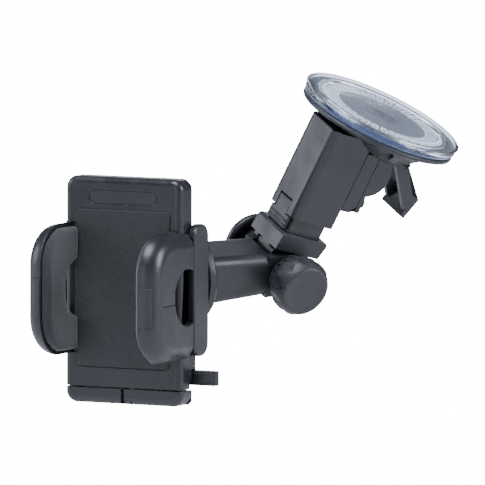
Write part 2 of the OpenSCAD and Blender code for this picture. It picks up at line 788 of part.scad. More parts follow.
module lock_ring() {
    color(black) in_arm() difference() {
        rotate([-90, 0, 0]) difference() {
            rotate_extrude() polygon([
                [0, -ring_front], [ring_r - 4.5, -ring_front], [ring_r - 0.6, -3], [ring_r, -1.6],
                [ring_r, socket_depth - 1.2], [ring_r - 0.8, socket_depth - gap], [0, socket_depth - gap]
            ]);
            for (i = [0 : 23]) rotate(i * 15)
                translate([ring_r + 0.6, 0, -2]) cylinder(h = 10, r = 1.4, $fn = 24);
        }
        rod_y(-1, socket_depth + 1, socket_out);
        rod_y(-1.6, 0, seat_r);
        sphere(ball_r + gap);
        rotate([90, 0, 0]) cylinder(h = ring_front + 1, r1 = 3.2, r2 = 14.2);
    }
}

module ball_seat() {
    color(rubber) in_arm() rotate([-90, 0, 0]) rotate_extrude() difference() {
        translate([vent_r, -0.8]) square([seat_r - 0.1 - vent_r, socket_depth + 0.1]);
        circle(ball_r + 0.1);
    }
}

module swivel_ball() {
    color(black) in_cradle() translate([0, ball_back, ball_z]) rotate([-90, 0, 0])
        rotate_extrude() difference() {
            intersection() {
                circle(ball_r);
                translate([shank_r + run, -20]) square([ball_r, 40]);
            }
            translate([0, ball_r - 3.4]) square([4.4, 20]);
        }
}

module ball_stud() {
    color(steel) in_cradle() translate([0, 0, ball_z]) difference() {
        rotate([-90, 0, 0]) rotate_extrude() polygon([
            [0, housing_back], [stud_plate_r, housing_back], [stud_plate_r, housing_back + stud_plate_t],
            [8, housing_back + stud_plate_t], [4.6, housing_back + stud_plate_t + 3],
            [3.8, shoulder - 2], [3.8, shoulder], [shank_r, shoulder],
            [shank_r, ball_back + ball_r - 3.6], [0, ball_back + ball_r - 3.6]
        ]);
        rod_y(ball_back - 4, ball_back + ball_r, 1.25);
        for (a = [45 : 90 : 315]) rotate([0, a, 0]) translate([stud_plate_r - 3.6, 0, 0])
            rod_y(housing_back - 1, housing_back + 9, 1.5);
    }
}

module ball_screw() {
    color(steel) in_cradle() translate([0, ball_back + ball_r - 1.6, ball_z])
        screw_back(9, 1.2, 4, 1.6);
}

module stud_screws() {
    color(steel) in_cradle() translate([0, 0, ball_z]) for (a = [45 : 90 : 315])
        rotate([0, a, 0]) translate([stud_plate_r - 3.6, housing_back + stud_plate_t + screw_head_t, 0])
            screw_back(5.4, 1.3, 2.4, screw_head_t);
}

// ---------- Cradle ----------

// The front of the cradle and its feet are cut from one rounded form
module front_form(inset) {
    facing_front(cover_front + inset) slab(
        -cradle_w / 2 + inset, cradle_w / 2 - inset, foot_bottom + inset, cradle_up - inset,
        cover_t - inset, cover_corner, cover_edge);
}

module front_cover() {
    wide = cradle_w / 2;
    color(black) in_cradle() difference() {
        union() {
            difference() {
                front_form(0);
                block([-wide - 1, cover_back - seat + 0.1, -80], [wide + 1, 40, 80]);
                block([-wide - 1, -1, -80], [wide + 1, 40, -cradle_down]);
                block([-wide + shell_wall, cover_front + pad_t - pad_proud + 1.6, -cradle_down + shell_wall],
                      [wide - shell_wall, 40, cradle_up - shell_wall]);
            }
            for (p = cover_bosses) translate([p.x, 0, p.y])
                rod_y(cover_front + 2, p.y > 0 ? cover_back - gap / 2 : cavity_back - gap / 2, boss_r);
            // Bosses that hold the front ends of the pinion's and the pawl's pins
            rod_y(cover_front + 2, rack_mid - rack_t / 2 - 1 - gap, 3.4);
            translate([pawl_x, 0, pawl_z]) rod_y(cover_front + 2, rack_mid - pawl_t / 2 - gap, 3);
        }
        rod_y(pin_front, 60, pinion_pin_r);
        translate([pawl_x, 0, pawl_z]) rod_y(pin_front, 60, pawl_pin_r);
        // Recess of the grip pad, and a shallow bare recess above it
        facing_front(0) translate([0, 0, -pad_t]) linear_extrude(3) round_rect(
            -pad_w / 2 - seat, pad_w / 2 + seat, -pad_h / 2 - seat, pad_h / 2 + seat, 3);
        facing_front(cover_front + 0.4) linear_extrude(3) round_rect(
            -badge_w / 2, badge_w / 2, badge_z - badge_h / 2, badge_z + badge_h / 2, badge_h / 2 - 0.1);
        for (p = cover_bosses) translate([p.x, 0, p.y]) rod_y(cover_front + 3.4, 40, 1.2);
        for (side = [-1, 1]) translate([side * foot_pin_x, foot_pin_y, 0])
            rod_z(-60, -cradle_down + 2, foot_pin_r);
    }
}

module grip_pad() {
    color(rubber) in_cradle() facing_front(0) translate([0, 0, -pad_t]) linear_extrude(pad_t)
        round_rect(-pad_w / 2, pad_w / 2, -pad_h / 2, pad_h / 2, 2.8);
}

module rear_housing() {
    wide = housing_w / 2;
    low = -cradle_down + 0.2;
    color(black) in_cradle() difference() {
        union() {
            facing_front(cover_back) translate([0, 0, -back_plate_t]) linear_extrude(back_plate_t)
                round_rect(-cradle_w / 2 + 0.2, cradle_w / 2 - 0.2, low, cradle_up - 0.2, cover_corner);
            facing_back(housing_back) slab(-wide, wide, low, housing_up, housing_t + 0.4, 6, 4);
        }
        facing_front(cover_back - 1) translate([0, 0, cover_back - 1 - cavity_back])
            linear_extrude(cavity_back - cover_back + 1)
                round_rect(-wide + 2.2, wide - 2.2, low + 1.3, housing_up - 1.4, 4);
        rod_y(0, pin_end, pinion_pin_r);
        translate([pawl_x, 0, pawl_z]) rod_y(0, pin_end, pawl_pin_r);
        // Side windows of the racks, guides and release lever
        window_pair(pitch_r - tooth_add - gap, pitch_r + tooth_ded + rack_h + gap);
        window_pair(-guide_z - guide_h - ratchet_h - gap, -guide_z + gap);
        block([10, rack_mid - lever_t / 2 - gap, lever_z - lever_h / 2 - gap],
              [wide + 5, rack_mid + lever_t / 2 + gap, lever_z + lever_h / 2 + gap]);
        for (p = cover_bosses) translate([p.x, 0, p.y]) rod_y(cover_back - 1, 60, 1.5);
        // Blind holes of the stud's screws
        translate([0, 0, ball_z]) for (a = [45 : 90 : 315]) rotate([0, a, 0])
            translate([stud_plate_r - 3.6, 0, 0]) rod_y(housing_back - 2, housing_back + 1, 1.3);
    }
}

// A window through the right wall, and the same turned half round in the left wall
module window_pair(z0, z1) {
    for (turn = [0, 180]) rotate([0, turn, 0])
        block([housing_w / 2 - 4, rack_mid - rack_t / 2 - gap, z0],
              [housing_w / 2 + 4, rack_mid + rack_t / 2 + gap, z1]);
}

module housing_screws() {
    color(steel) in_cradle() for (p = cover_bosses)
        translate([p.x, (p.y > 0 ? plate_back : housing_back) + screw_head_t, p.y])
            screw_back(9, 1.15, screw_head_r, screw_head_t);
}

// ---------- Jaws ----------

// Places a right-hand jaw piece, or its mirror image on the left
module jaw_side(side) {
    in_cradle() translate([0, 0, jaw_mid - side * jaw_stagger]) {
        if (side > 0) children();
        else mirror([1, 0, 0]) children();
    }
}

// Outline that is round only at its low-x end
module tongue_outline(x0, x1, h, r) {
    translate([x0 + r, -h / 2]) square([x1 - x0 - r, h]);
    translate([x0, r - h / 2]) square([x1 - x0, h - 2 * r]);
    for (side = [-1, 1]) translate([x0 + r, side * (h / 2 - r)]) circle(r);
}

// Rounded form of a jaw, brought in by inset; depth is counted from the outer face
module jaw_form(inset, depth) {
    facing_right(jaw_out - inset) slab(
        -jaw_reach + inset, strip_front - gap, -jaw_h / 2 + inset, jaw_h / 2 - inset,
        depth - inset, jaw_corner - inset, jaw_edge - inset, tail = true);
}

// Part of a jaw's outline, brought in by inset, from one depth below the outer face to another
module jaw_layer(inset, depth0, depth1) {
    facing_right(jaw_out - depth1) linear_extrude(depth1 - depth0) tongue_outline(
        -jaw_reach + inset, strip_front, jaw_h - 2 * inset, jaw_corner - inset);
}

// How far the outer face's rounding has brought the outline in at a depth
function edge_inset(depth) = jaw_edge - sqrt(pow(jaw_edge, 2) - pow(max(jaw_edge - depth, 0), 2));

// Stepped filling of the shell behind its wall, from a depth inwards
module jaw_inside(clear, depth0, depth1) {
    for (d = [jaw_wall, jaw_wall * 1.9, jaw_wall * 3])
        if (d < depth1) jaw_layer(edge_inset(d) + jaw_wall + clear, max(d, depth0), depth1);
}

// The D-shaped window through a jaw
module jaw_window() {
    translate([10, 0, 0]) rotate([90, 0, 90]) linear_extrude(60) intersection() {
        translate([window_y, 0]) circle(window_r);
        translate([window_y - 40, -40]) square([window_flat + 40 - window_y, 80]);
    }
}

module jaw_shell(side) {
    color(black) jaw_side(side) difference() {
        jaw_form(0, jaw_out - lip_in);
        jaw_inside(0, 0, jaw_depth);
        block([0, jaw_rear, -60], [web_in, 60, 60]);
        jaw_window();
        // Seam across the outer face, from the clip to the window
        block([jaw_out - 0.6, -jaw_reach + jaw_edge, seam_z - seam_w / 2],
            [jaw_out + 1, window_y - 6, seam_z + seam_w / 2]);
    }
}

module jaw_pad(side) {
    color(foam) jaw_side(side) difference() {
        union() {
            // Part inside the shell
            jaw_inside(gap, jaw_wall + frame_t + gap, jaw_out - lip_in + 0.5);
            // Part that stands out of the shell, round on its inner edge
            facing_left(pad_in) slab(
                -jaw_reach + 1, jaw_rear, -jaw_h / 2 + 1, jaw_h / 2 - 1,
                lip_in - gap - pad_in, jaw_corner - 1, 2.6, tail = true);
        }
        block([0, jaw_rear, -60], [60, 60, 60]);
        jaw_window();
    }
}

module jaw_clip(side) {
    color(charcoal) jaw_side(side) intersection() {
        difference() {
            jaw_form(-clip_t, jaw_out - lip_in + clip_t);
            jaw_form(0, jaw_depth + 4);
        }
        block([lip_in + 0.2, -jaw_reach - 2, seam_z - clip_h / 2],
            [jaw_out - 3, -jaw_reach + jaw_edge, seam_z + clip_h / 2]);
    }
}

// A slide: the rear strip, the inner frame that holds shell and foam, and two arms
module jaw_slide(side) {
    color(black) {
        in_cradle() rotate([0, side > 0 ? 0 : 180, 0]) {
            facing_right(jaw_out + 0.3) slab(
                strip_front, strip_back, -strip_h / 2, strip_h / 2, jaw_out + 0.3 - jaw_in, 6.4, 1);
            rack_arm();
            guide_arm();
        }
        jaw_side(side) difference() {
            union() {
                difference() {
                    jaw_layer(edge_inset(jaw_wall) + jaw_wall + seat, jaw_wall + seat, jaw_wall + frame_t);
                    block([0, jaw_rear, -60], [60, 60, 60]);
                }
                block([web_in, jaw_rear - 2, -jaw_h / 2 + 6],
                      [jaw_out - jaw_wall - seat, strip_front + 2, jaw_h / 2 - 6]);
            }
            jaw_window();
        }
    }
}

// Rack with its teeth down, above the pinion
module rack_arm() {
    root = pitch_r + tooth_ded;
    pitch = PI * gear_m;
    half = pitch / 4 - backlash / 2;
    slope = tan(pressure);
    translate([0, rack_mid + rack_t / 2, 0]) rotate([90, 0, 0]) linear_extrude(rack_t) union() {
        translate([-rack_tail, root]) square([jaw_in + 1 + rack_tail, rack_h]);
        for (i = [-7 : 7]) translate([(i + 0.5) * pitch, 0]) polygon([
            [-half - tooth_ded * slope, root + eps], [-half + tooth_add * slope, pitch_r - tooth_add],
            [half - tooth_add * slope, pitch_r - tooth_add], [half + tooth_ded * slope, root + eps]
        ]);
    }
}

// Guide arm, with ratchet teeth along its lower edge
module guide_arm() {
    low = -guide_z - guide_h;
    translate([0, rack_mid + rack_t / 2, 0]) rotate([90, 0, 0]) linear_extrude(rack_t) union() {
        translate([jaw_in + 1 - guide_l, low]) square([guide_l, guide_h]);
        for (x = [pawl_x - 8 : ratchet_pitch : pawl_x + 12]) polygon([
            [x, low + eps], [x + ratchet_pitch - 0.2, low + eps], [x + ratchet_pitch - 0.2, low - ratchet_h]
        ]);
    }
}

module jaw_slide_right() { jaw_slide(1); }
module jaw_shell_right() { jaw_shell(1); }
module jaw_pad_right() { jaw_pad(1); }
module jaw_clip_right() { jaw_clip(1); }
module jaw_slide_left() { jaw_slide(-1); }
module jaw_shell_left() { jaw_shell(-1); }
module jaw_pad_left() { jaw_pad(-1); }
module jaw_clip_left() { jaw_clip(-1); }

// Point on an involute of base radius r at parameter t, in degrees
function involute(r, t) = [r * (cos(t) + t * PI / 180 * sin(t)), r * (sin(t) - t * PI / 180 * cos(t))];
function spin(p, a) = [p.x * cos(a) - p.y * sin(a), p.x * sin(a) + p.y * cos(a)];

module pinion_outline() {
    base = pitch_r * cos(pressure);
    top = pitch_r + tooth_add;
    root = pitch_r - tooth_ded;
    steps = 5;
    t_top = sqrt(pow(top / base, 2) - 1) * 180 / PI;
    roll = tan(pressure) * 180 / PI - pressure;
    half = 90 / gear_n - backlash / 2 / pitch_r * 90 / PI;
    side = [for (i = [0 : steps]) spin(involute(base, t_top * i / steps), -half - roll)];
    other = [for (i = [steps : -1 : 0]) [side[i].x, -side[i].y]];
    circle(root);
    for (i = [0 : gear_n - 1]) rotate(i * 360 / gear_n + 90)
        polygon(concat([[root * 0.9, -1]], side, other, [[root * 0.9, 1]]));
}

module pinion() {
    color(grey) in_cradle() difference() {
        union() {
            translate([0, rack_mid + rack_t / 2 - 0.2, 0]) rotate([90, 0, 0])
                linear_extrude(rack_t - 0.4) pinion_outline();
            rod_y(rack_mid - rack_t / 2 - 1, cavity_back - gap, 3.6);
        }
        rod_y(0, 60, pinion_pin_r + run);
    }
}

module pinion_pin() {
    color(steel) in_cradle() rod_y(pin_front, pin_end, pinion_pin_r);
}

// Flat spiral spring round the pinion's hub
module jaw_spring() {
    turns = 3;
    inner = 4.1;
    step = (spring_r - inner) / turns;
    outside = [for (a = [0 : 15 : 360 * turns]) spin([inner + 0.5 + step * a / 360, 0], a)];
    inside = [for (a = [360 * turns : -15 : 0]) spin([inner + step * a / 360, 0], a)];
    color(steel) in_cradle() translate([0, cavity_back - gap, 0]) rotate([90, 0, 0]) union() {
        linear_extrude(2) polygon(concat(outside, inside));
        linear_extrude(2) translate([spring_r - 0.2, -0.6]) square([2, 1.2]);
    }
}

module release_lever() {
    out = housing_w / 2 + lever_out;
    low = lever_z - lever_h / 2;
    high = lever_z + lever_h / 2;
    color(black) in_cradle() difference() {
        union() {
            block([lever_in + 7, rack_mid - lever_t / 2, low], [out - 3, rack_mid + lever_t / 2, high]);
            block([lever_in, rack_mid - 2, low], [lever_in + 8, rack_mid + 2, low + finger_h]);
            translate([out - 3, rack_mid, low]) rod_z(0, lever_h, lever_t / 2);
        }
        // Shallow panel in the faces that a thumb meets
        block([housing_w / 2 + 1.5, rack_mid - lever_t / 2 - 1, low + 1.4],
              [out - 2.4, rack_mid - lever_t / 2 + 0.5, high - 1.4]);
    }
}

module pawl() {
    nose = [pawl_x + pawl_nose[0], -guide_z - guide_h - ratchet_h - gap];
    front = rack_mid - pawl_t / 2;
    tail_x = pawl_x - 0.2;
    color(steel) in_cradle() difference() {
        union() {
            translate([pawl_x, 0, pawl_z]) rod_y(front, front + pawl_t, 3);
            translate([0, front + pawl_t, 0]) rotate([90, 0, 0]) linear_extrude(pawl_t) polygon([
                [pawl_x + 0.5, pawl_z + 2.2], [nose.x - 1.4, nose.y - 0.6], [nose.x, nose.y],
                [nose.x + 1, nose.y - 2.2], [pawl_x + 2.2, pawl_z - 1]
            ]);
            block([tail_x - 0.9, front, pawl_z - pawl_tail], [tail_x + 0.9, front + pawl_t, pawl_z - 2]);
            translate([tail_x, 0, pawl_z - pawl_tail]) rod_y(front, front + pawl_t, 0.9);
        }
        translate([pawl_x, 0, pawl_z]) rod_y(0, 60, pawl_pin_r + run);
    }
}

module pawl_pin() {
    color(steel) in_cradle() translate([pawl_x, 0, pawl_z]) rod_y(pin_front, pin_end, pawl_pin_r);
}

module pawl_spring() {
    color(steel) in_cradle() translate([pawl_x, 0, pawl_z]) difference() {
        rod_y(rack_mid + pawl_t / 2 + 0.2, cavity_back, 2.6);
        rod_y(0, 60, pawl_pin_r + 0.2);
    }
}

// ---------- Feet ----------

module foot(side) {
    color(black) in_cradle() difference() {
        union() {
            intersection() {
                front_form(0);
                block([side > 0 ? 0.8 : -cradle_w, -5, -80], [side > 0 ? cradle_w : -0.8, 40, foot_top]);
            }
            // Knuckle round the pin
            translate([side * foot_pin_x, foot_pin_y, 0])
                rod_z(foot_bottom + cover_corner / 2, foot_top - 0.2, foot_pin_r + foot_knuckle);
        }
        translate([side * foot_pin_x, foot_pin_y, 0]) rod_z(-80, 0, foot_pin_r + run);
        // Hollow underside
        block([side > 0 ? 4 : -22, cover_front + 3, foot_bottom - 1],
              [side > 0 ? 22 : -4, plate_back - 2.6, foot_top - 2.4]);
    }
}
module foot_right() { foot(1); }
module foot_left() { foot(-1); }

module foot_pins() {
    color(steel) in_cradle() for (side = [-1, 1])
        translate([side * foot_pin_x, foot_pin_y, 0]) rod_z(foot_bottom + 0.3, -cradle_down + 2, foot_pin_r);
}

suction_cup();
backing_disc();
base_housing();
base_screws();
suction_stud();
suction_lever();
suction_lever_pin();
outer_sleeve();
sleeve_cap();
near_pivot_cap();
far_pivot_cap();
pivot_pin();
pivot_cap_screws();
telescope_latch();
latch_pin();
inner_tube();
elbow_collar();
collar_screw();
arm();
friction_washers();
elbow_bolt();
rear_cap();
elbow_knob();
knob_insert();
lock_ring();
ball_seat();
swivel_ball();
ball_stud();
ball_screw();
stud_screws();
rear_housing();
front_cover();
grip_pad();
housing_screws();
jaw_slide_right();
jaw_shell_right();
jaw_pad_right();
jaw_clip_right();
jaw_slide_left();
jaw_shell_left();
jaw_pad_left();
jaw_clip_left();
pinion();
pinion_pin();
jaw_spring();
release_lever();
pawl();
pawl_pin();
pawl_spring();
foot_right();
foot_left();
foot_pins();
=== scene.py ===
"""Looks of the windshield phone mount.

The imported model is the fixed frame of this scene. Every sub-assembly is a class that
takes the mouldings it owns, rounds their edges as a mould does, adds the soft and clear
pieces, and dresses all of it in node-based finishes. Lengths are in metres.
"""

import json
import logging
import math
from abc import ABC, abstractmethod
from dataclasses import dataclass, field
from enum import Enum
from typing import Callable, Sequence

import bmesh
import bpy
from mathutils import Matrix, Vector

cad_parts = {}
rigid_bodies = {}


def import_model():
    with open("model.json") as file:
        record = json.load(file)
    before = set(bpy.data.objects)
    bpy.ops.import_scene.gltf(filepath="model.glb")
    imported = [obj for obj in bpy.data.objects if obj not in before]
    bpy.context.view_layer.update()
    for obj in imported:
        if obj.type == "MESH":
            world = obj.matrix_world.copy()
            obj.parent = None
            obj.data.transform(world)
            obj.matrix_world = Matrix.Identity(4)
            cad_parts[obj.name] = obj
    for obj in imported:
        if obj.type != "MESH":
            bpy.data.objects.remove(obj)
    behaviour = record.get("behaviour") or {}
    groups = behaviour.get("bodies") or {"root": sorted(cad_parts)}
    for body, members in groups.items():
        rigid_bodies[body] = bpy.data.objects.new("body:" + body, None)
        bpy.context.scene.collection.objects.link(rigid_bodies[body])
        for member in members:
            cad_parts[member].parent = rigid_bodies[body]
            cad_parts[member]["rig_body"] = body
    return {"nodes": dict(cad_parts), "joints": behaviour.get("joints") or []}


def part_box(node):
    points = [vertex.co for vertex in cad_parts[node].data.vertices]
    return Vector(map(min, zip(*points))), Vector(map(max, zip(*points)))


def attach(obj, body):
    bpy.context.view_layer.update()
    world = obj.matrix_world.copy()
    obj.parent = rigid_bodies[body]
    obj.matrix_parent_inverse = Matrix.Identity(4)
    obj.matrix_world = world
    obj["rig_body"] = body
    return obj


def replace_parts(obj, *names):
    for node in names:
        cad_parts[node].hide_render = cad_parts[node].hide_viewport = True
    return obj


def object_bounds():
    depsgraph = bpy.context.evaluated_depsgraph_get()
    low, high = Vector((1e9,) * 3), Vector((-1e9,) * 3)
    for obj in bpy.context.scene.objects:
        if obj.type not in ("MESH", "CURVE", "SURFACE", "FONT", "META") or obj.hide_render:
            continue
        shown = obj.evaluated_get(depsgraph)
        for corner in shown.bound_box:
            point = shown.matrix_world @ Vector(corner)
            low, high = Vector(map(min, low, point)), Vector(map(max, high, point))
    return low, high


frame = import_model()
CAD_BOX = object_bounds()

LOG = logging.getLogger("phone_mount")
MM = 0.001


# ---------------------------------------------------------------- names and options


class Slot(Enum):
    """Material slots of the part's record."""

    BLACK = "black_plastic"
    CHARCOAL = "charcoal_plastic"
    GREY = "grey_plastic"
    PAD = "pad_rubber"
    FOAM = "foam_rubber"
    CLEAR = "clear_vinyl"
    STEEL = "steel"
    BRASS = "brass_insert"


class Side(Enum):
    """The two jaws and feet, with the sign of their place along X."""

    RIGHT = 1
    LEFT = -1

    @property
    def word(self) -> str:
        """The side's name as the nodes spell it."""
        return self.name.lower()


# ---------------------------------------------------------------- shader tools


class Wiring:
    """Adds nodes to one tree and joins their sockets."""

    def __init__(self, tree: bpy.types.NodeTree) -> None:
        """Keeps the tree and starts the first column.

        Args:
            tree: Node tree of a material or a group.
        """
        self.tree = tree
        self.column = 0

    def add(self, kind: str, **settings: object) -> bpy.types.Node:
        """Adds one node.

        Args:
            kind: Blender's name of the node type.
            settings: Attributes to set on the node.

        Returns:
            The new node.
        """
        node = self.tree.nodes.new(kind)
        node.location = (220 * self.column, 0)
        self.column += 1
        for key, value in settings.items():
            setattr(node, key, value)
        return node

    def join(self, source: bpy.types.NodeSocket, target: bpy.types.NodeSocket) -> None:
        """Joins an output to an input."""
        self.tree.links.new(source, target)

    def math(self, operation: str, *values: object) -> bpy.types.NodeSocket:
        """Adds a Math node fed by sockets or plain numbers.

        Args:
            operation: Blender's name of the operation.
            values: One to three sockets or numbers.

        Returns:
            The node's output.
        """
        node = self.add("ShaderNodeMath", operation=operation)
        for index, value in enumerate(values):
            if isinstance(value, bpy.types.NodeSocket):
                self.join(value, node.inputs[index])
            else:
                node.inputs[index].default_value = float(value)
        return node.outputs[0]

    def ramp(
        self, value: bpy.types.NodeSocket, low: float, high: float
    ) -> bpy.types.NodeSocket:
        """Smoothly maps a value to 0 below low and 1 above high.

        Args:
            value: Socket to map.
            low: Value that becomes 0.
            high: Value that becomes 1.

        Returns:
            The mapped value.
        """
        node = self.add("ShaderNodeMapRange", interpolation_type="SMOOTHSTEP")
        self.join(value, node.inputs["Value"])
        node.inputs["From Min"].default_value = low
        node.inputs["From Max"].default_value = high
        return node.outputs["Result"]

    def blend_tone(
        self,
        share: bpy.types.NodeSocket,
        first: object,
        second: object,
    ) -> bpy.types.NodeSocket:
        """Mixes two colours.

        Args:
            share: Socket with the share of the second colour.
            first: Colour or socket shown at 0.
            second: Colour or socket shown at 1.

        Returns:
            The mixed colour.
        """
        node = self.add("ShaderNodeMix", data_type="RGBA")
        self.join(share, node.inputs[0])
        for socket, value in ((node.inputs[6], first), (node.inputs[7], second)):
            if isinstance(value, bpy.types.NodeSocket):
                self.join(value, socket)
            else:
                socket.default_value = (*value, 1.0)
        return node.outputs[2]


class Effect(ABC):
    """A shader node group with named inputs and outputs, built once."""

    title: str = ""
    inputs: dict[str, float] = {}
    outputs: tuple[str, ...] = ()

    def group(self) -> bpy.types.NodeTree:
        """Builds the group, or finds it when it is already there.

        Returns:
            The node group.
        """
        found = bpy.data.node_groups.get(self.title)
        if found is not None:
            return found
        tree = bpy.data.node_groups.new(self.title, "ShaderNodeTree")
        for name, value in self.inputs.items():
            socket = tree.interface.new_socket(
                name=name, in_out="INPUT", socket_type="NodeSocketFloat"
            )
            socket.default_value = value
        for name in self.outputs:
            tree.interface.new_socket(
                name=name, in_out="OUTPUT", socket_type="NodeSocketFloat"
            )
        wiring = Wiring(tree)
        entry = wiring.add("NodeGroupInput")
        leave = wiring.add("NodeGroupOutput")
        self.wire(wiring, entry, leave)
        return tree

    @abstractmethod
    def wire(
        self, wiring: Wiring, entry: bpy.types.Node, leave: bpy.types.Node
    ) -> None:
        """Fills the group with its nodes.

        Args:
            wiring: Helper for the group's tree.
            entry: The group's input node.
            leave: The group's output node.
        """

    def place(self, wiring: Wiring, **values: float) -> bpy.types.Node:
        """Places the group in a material.

        Args:
            wiring: Helper for the material's tree.
            values: Values of the group's inputs, by name.

        Returns:
            The group node.
        """
        node = wiring.add("ShaderNodeGroup")
        node.node_tree = self.group()
        for name, value in values.items():
            node.inputs[name].default_value = value
        return node


class MouldGrain(Effect):
    """Grain that a spark-eroded or pebbled mould leaves on plastic and rubber, with a
    painted glint on its high points.
    """

    title = "mould_grain"
    inputs = {"Grain Size": 0.0004, "Pebble": 0.0}
    outputs = ("Height", "Speckle")

    def wire(
        self, wiring: Wiring, entry: bpy.types.Node, leave: bpy.types.Node
    ) -> None:
        """Mixes fine noise with rounded pebbles; the second output is a painted glint:
        light dots on the high points of the fine noise.

        Args:
            wiring: Helper for the group's tree.
            entry: The group's input node.
            leave: The group's output node.
        """
        place = wiring.add("ShaderNodeTexCoord")
        scale = wiring.math("DIVIDE", 1.0, entry.outputs["Grain Size"])
        noise = wiring.add("ShaderNodeTexNoise")
        noise.inputs["Detail"].default_value = 2.5
        noise.inputs["Roughness"].default_value = 0.6
        pebbles = wiring.add("ShaderNodeTexVoronoi", feature="SMOOTH_F1")
        pebbles.inputs["Smoothness"].default_value = 0.6
        for node in (noise, pebbles):
            wiring.join(place.outputs["Object"], node.inputs["Vector"])
            wiring.join(scale, node.inputs["Scale"])
        round_top = wiring.math("SUBTRACT", 1.0, pebbles.outputs["Distance"])
        fine = wiring.math(
            "MULTIPLY",
            noise.outputs["Fac"],
            wiring.math("SUBTRACT", 1.0, entry.outputs["Pebble"]),
        )
        coarse = wiring.math("MULTIPLY", round_top, entry.outputs["Pebble"])
        wiring.join(wiring.math("ADD", fine, coarse), leave.inputs["Height"])
        # Painted glint: the top of the fine noise, which also raises the bump, is marked
        # for a lighter colour.
        wiring.join(
            wiring.ramp(noise.outputs["Fac"], 0.50, 0.66), leave.inputs["Speckle"]
        )


class EdgeRub(Effect):
    """Burnished edges, broken up by patches, on the faces marked as edge rounds."""

    title = "edge_rub"
    inputs = {"Amount": 0.5, "Patch Size": 0.006}
    outputs = ("Mask",)

    def wire(
        self, wiring: Wiring, entry: bpy.types.Node, leave: bpy.types.Node
    ) -> None:
        """Multiplies the edge mark by a patchy noise and the amount.

        Args:
            wiring: Helper for the group's tree.
            entry: The group's input node.
            leave: The group's output node.
        """
        place = wiring.add("ShaderNodeTexCoord")
        mark = wiring.add(
            "ShaderNodeAttribute", attribute_name="edge_round", attribute_type="GEOMETRY"
        )
        patch = wiring.add("ShaderNodeTexNoise")
        patch.inputs["Detail"].default_value = 3.0
        wiring.join(place.outputs["Object"], patch.inputs["Vector"])
        wiring.join(
            wiring.math("DIVIDE", 1.0, entry.outputs["Patch Size"]),
            patch.inputs["Scale"],
        )
        worn = wiring.ramp(patch.outputs["Fac"], 0.36, 0.62)
        mask = wiring.math("MULTIPLY", mark.outputs["Fac"], worn)
        mask = wiring.math("MULTIPLY", mask, entry.outputs["Amount"])
        wiring.join(mask, leave.inputs["Mask"])


class Handling(Effect):
    """Soft smudges, hairline scratches and the dust that settles on upper faces."""

    title = "handling"
    inputs = {"Smudge Size": 0.014, "Scratches": 0.3}
    outputs = ("Smudge", "Scratch", "Dust")

    def wire(
        self, wiring: Wiring, entry: bpy.types.Node, leave: bpy.types.Node
    ) -> None:
        """Makes the three masks from noise at three scales.

        Args:
            wiring: Helper for the group's tree.
            entry: The group's input node.
            leave: The group's output node.
        """
        place = wiring.add("ShaderNodeTexCoord")
        soft = wiring.add("ShaderNodeTexNoise")
        soft.inputs["Detail"].default_value = 3.0
        soft.inputs["Distortion"].default_value = 0.6
        wiring.join(place.outputs["Object"], soft.inputs["Vector"])
        wiring.join(
            wiring.math("DIVIDE", 1.0, entry.outputs["Smudge Size"]),
            soft.inputs["Scale"],
        )
        wiring.join(
            wiring.ramp(soft.outputs["Fac"], 0.38, 0.66), leave.inputs["Smudge"]
        )
        turned = wiring.add("ShaderNodeMapping")
        turned.inputs["Rotation"].default_value = (0.5, 0.9, 0.35)
        turned.inputs["Scale"].default_value = (90.0, 4200.0, 4200.0)
        wiring.join(place.outputs["Object"], turned.inputs["Vector"])
        lines = wiring.add("ShaderNodeTexNoise")
        lines.inputs["Scale"].default_value = 1.0
        wiring.join(turned.outputs["Vector"], lines.inputs["Vector"])
        hair = wiring.ramp(lines.outputs["Fac"], 0.68, 0.76)
        wiring.join(
            wiring.math("MULTIPLY", hair, entry.outputs["Scratches"]),
            leave.inputs["Scratch"],
        )
        axes = wiring.add("ShaderNodeSeparateXYZ")
        wiring.join(place.outputs["Normal"], axes.inputs["Vector"])
        upper = wiring.ramp(axes.outputs["Z"], 0.35, 0.95)
        fine = wiring.add("ShaderNodeTexNoise")
        fine.inputs["Scale"].default_value = 700.0
        fine.inputs["Detail"].default_value = 4.0
        wiring.join(place.outputs["Object"], fine.inputs["Vector"])
        settled = wiring.math("MULTIPLY", fine.outputs["Fac"], soft.outputs["Fac"])
        settled = wiring.ramp(settled, 0.22, 0.42)
        wiring.join(wiring.math("MULTIPLY", upper, settled), leave.inputs["Dust"])


GRAIN = MouldGrain()
RUB = EdgeRub()
HANDLING = Handling()


# ---------------------------------------------------------------- finishes


# How much smoother than its named roughness a clean, unhandled surface is.
CLEAN_GLOSS = 0.04


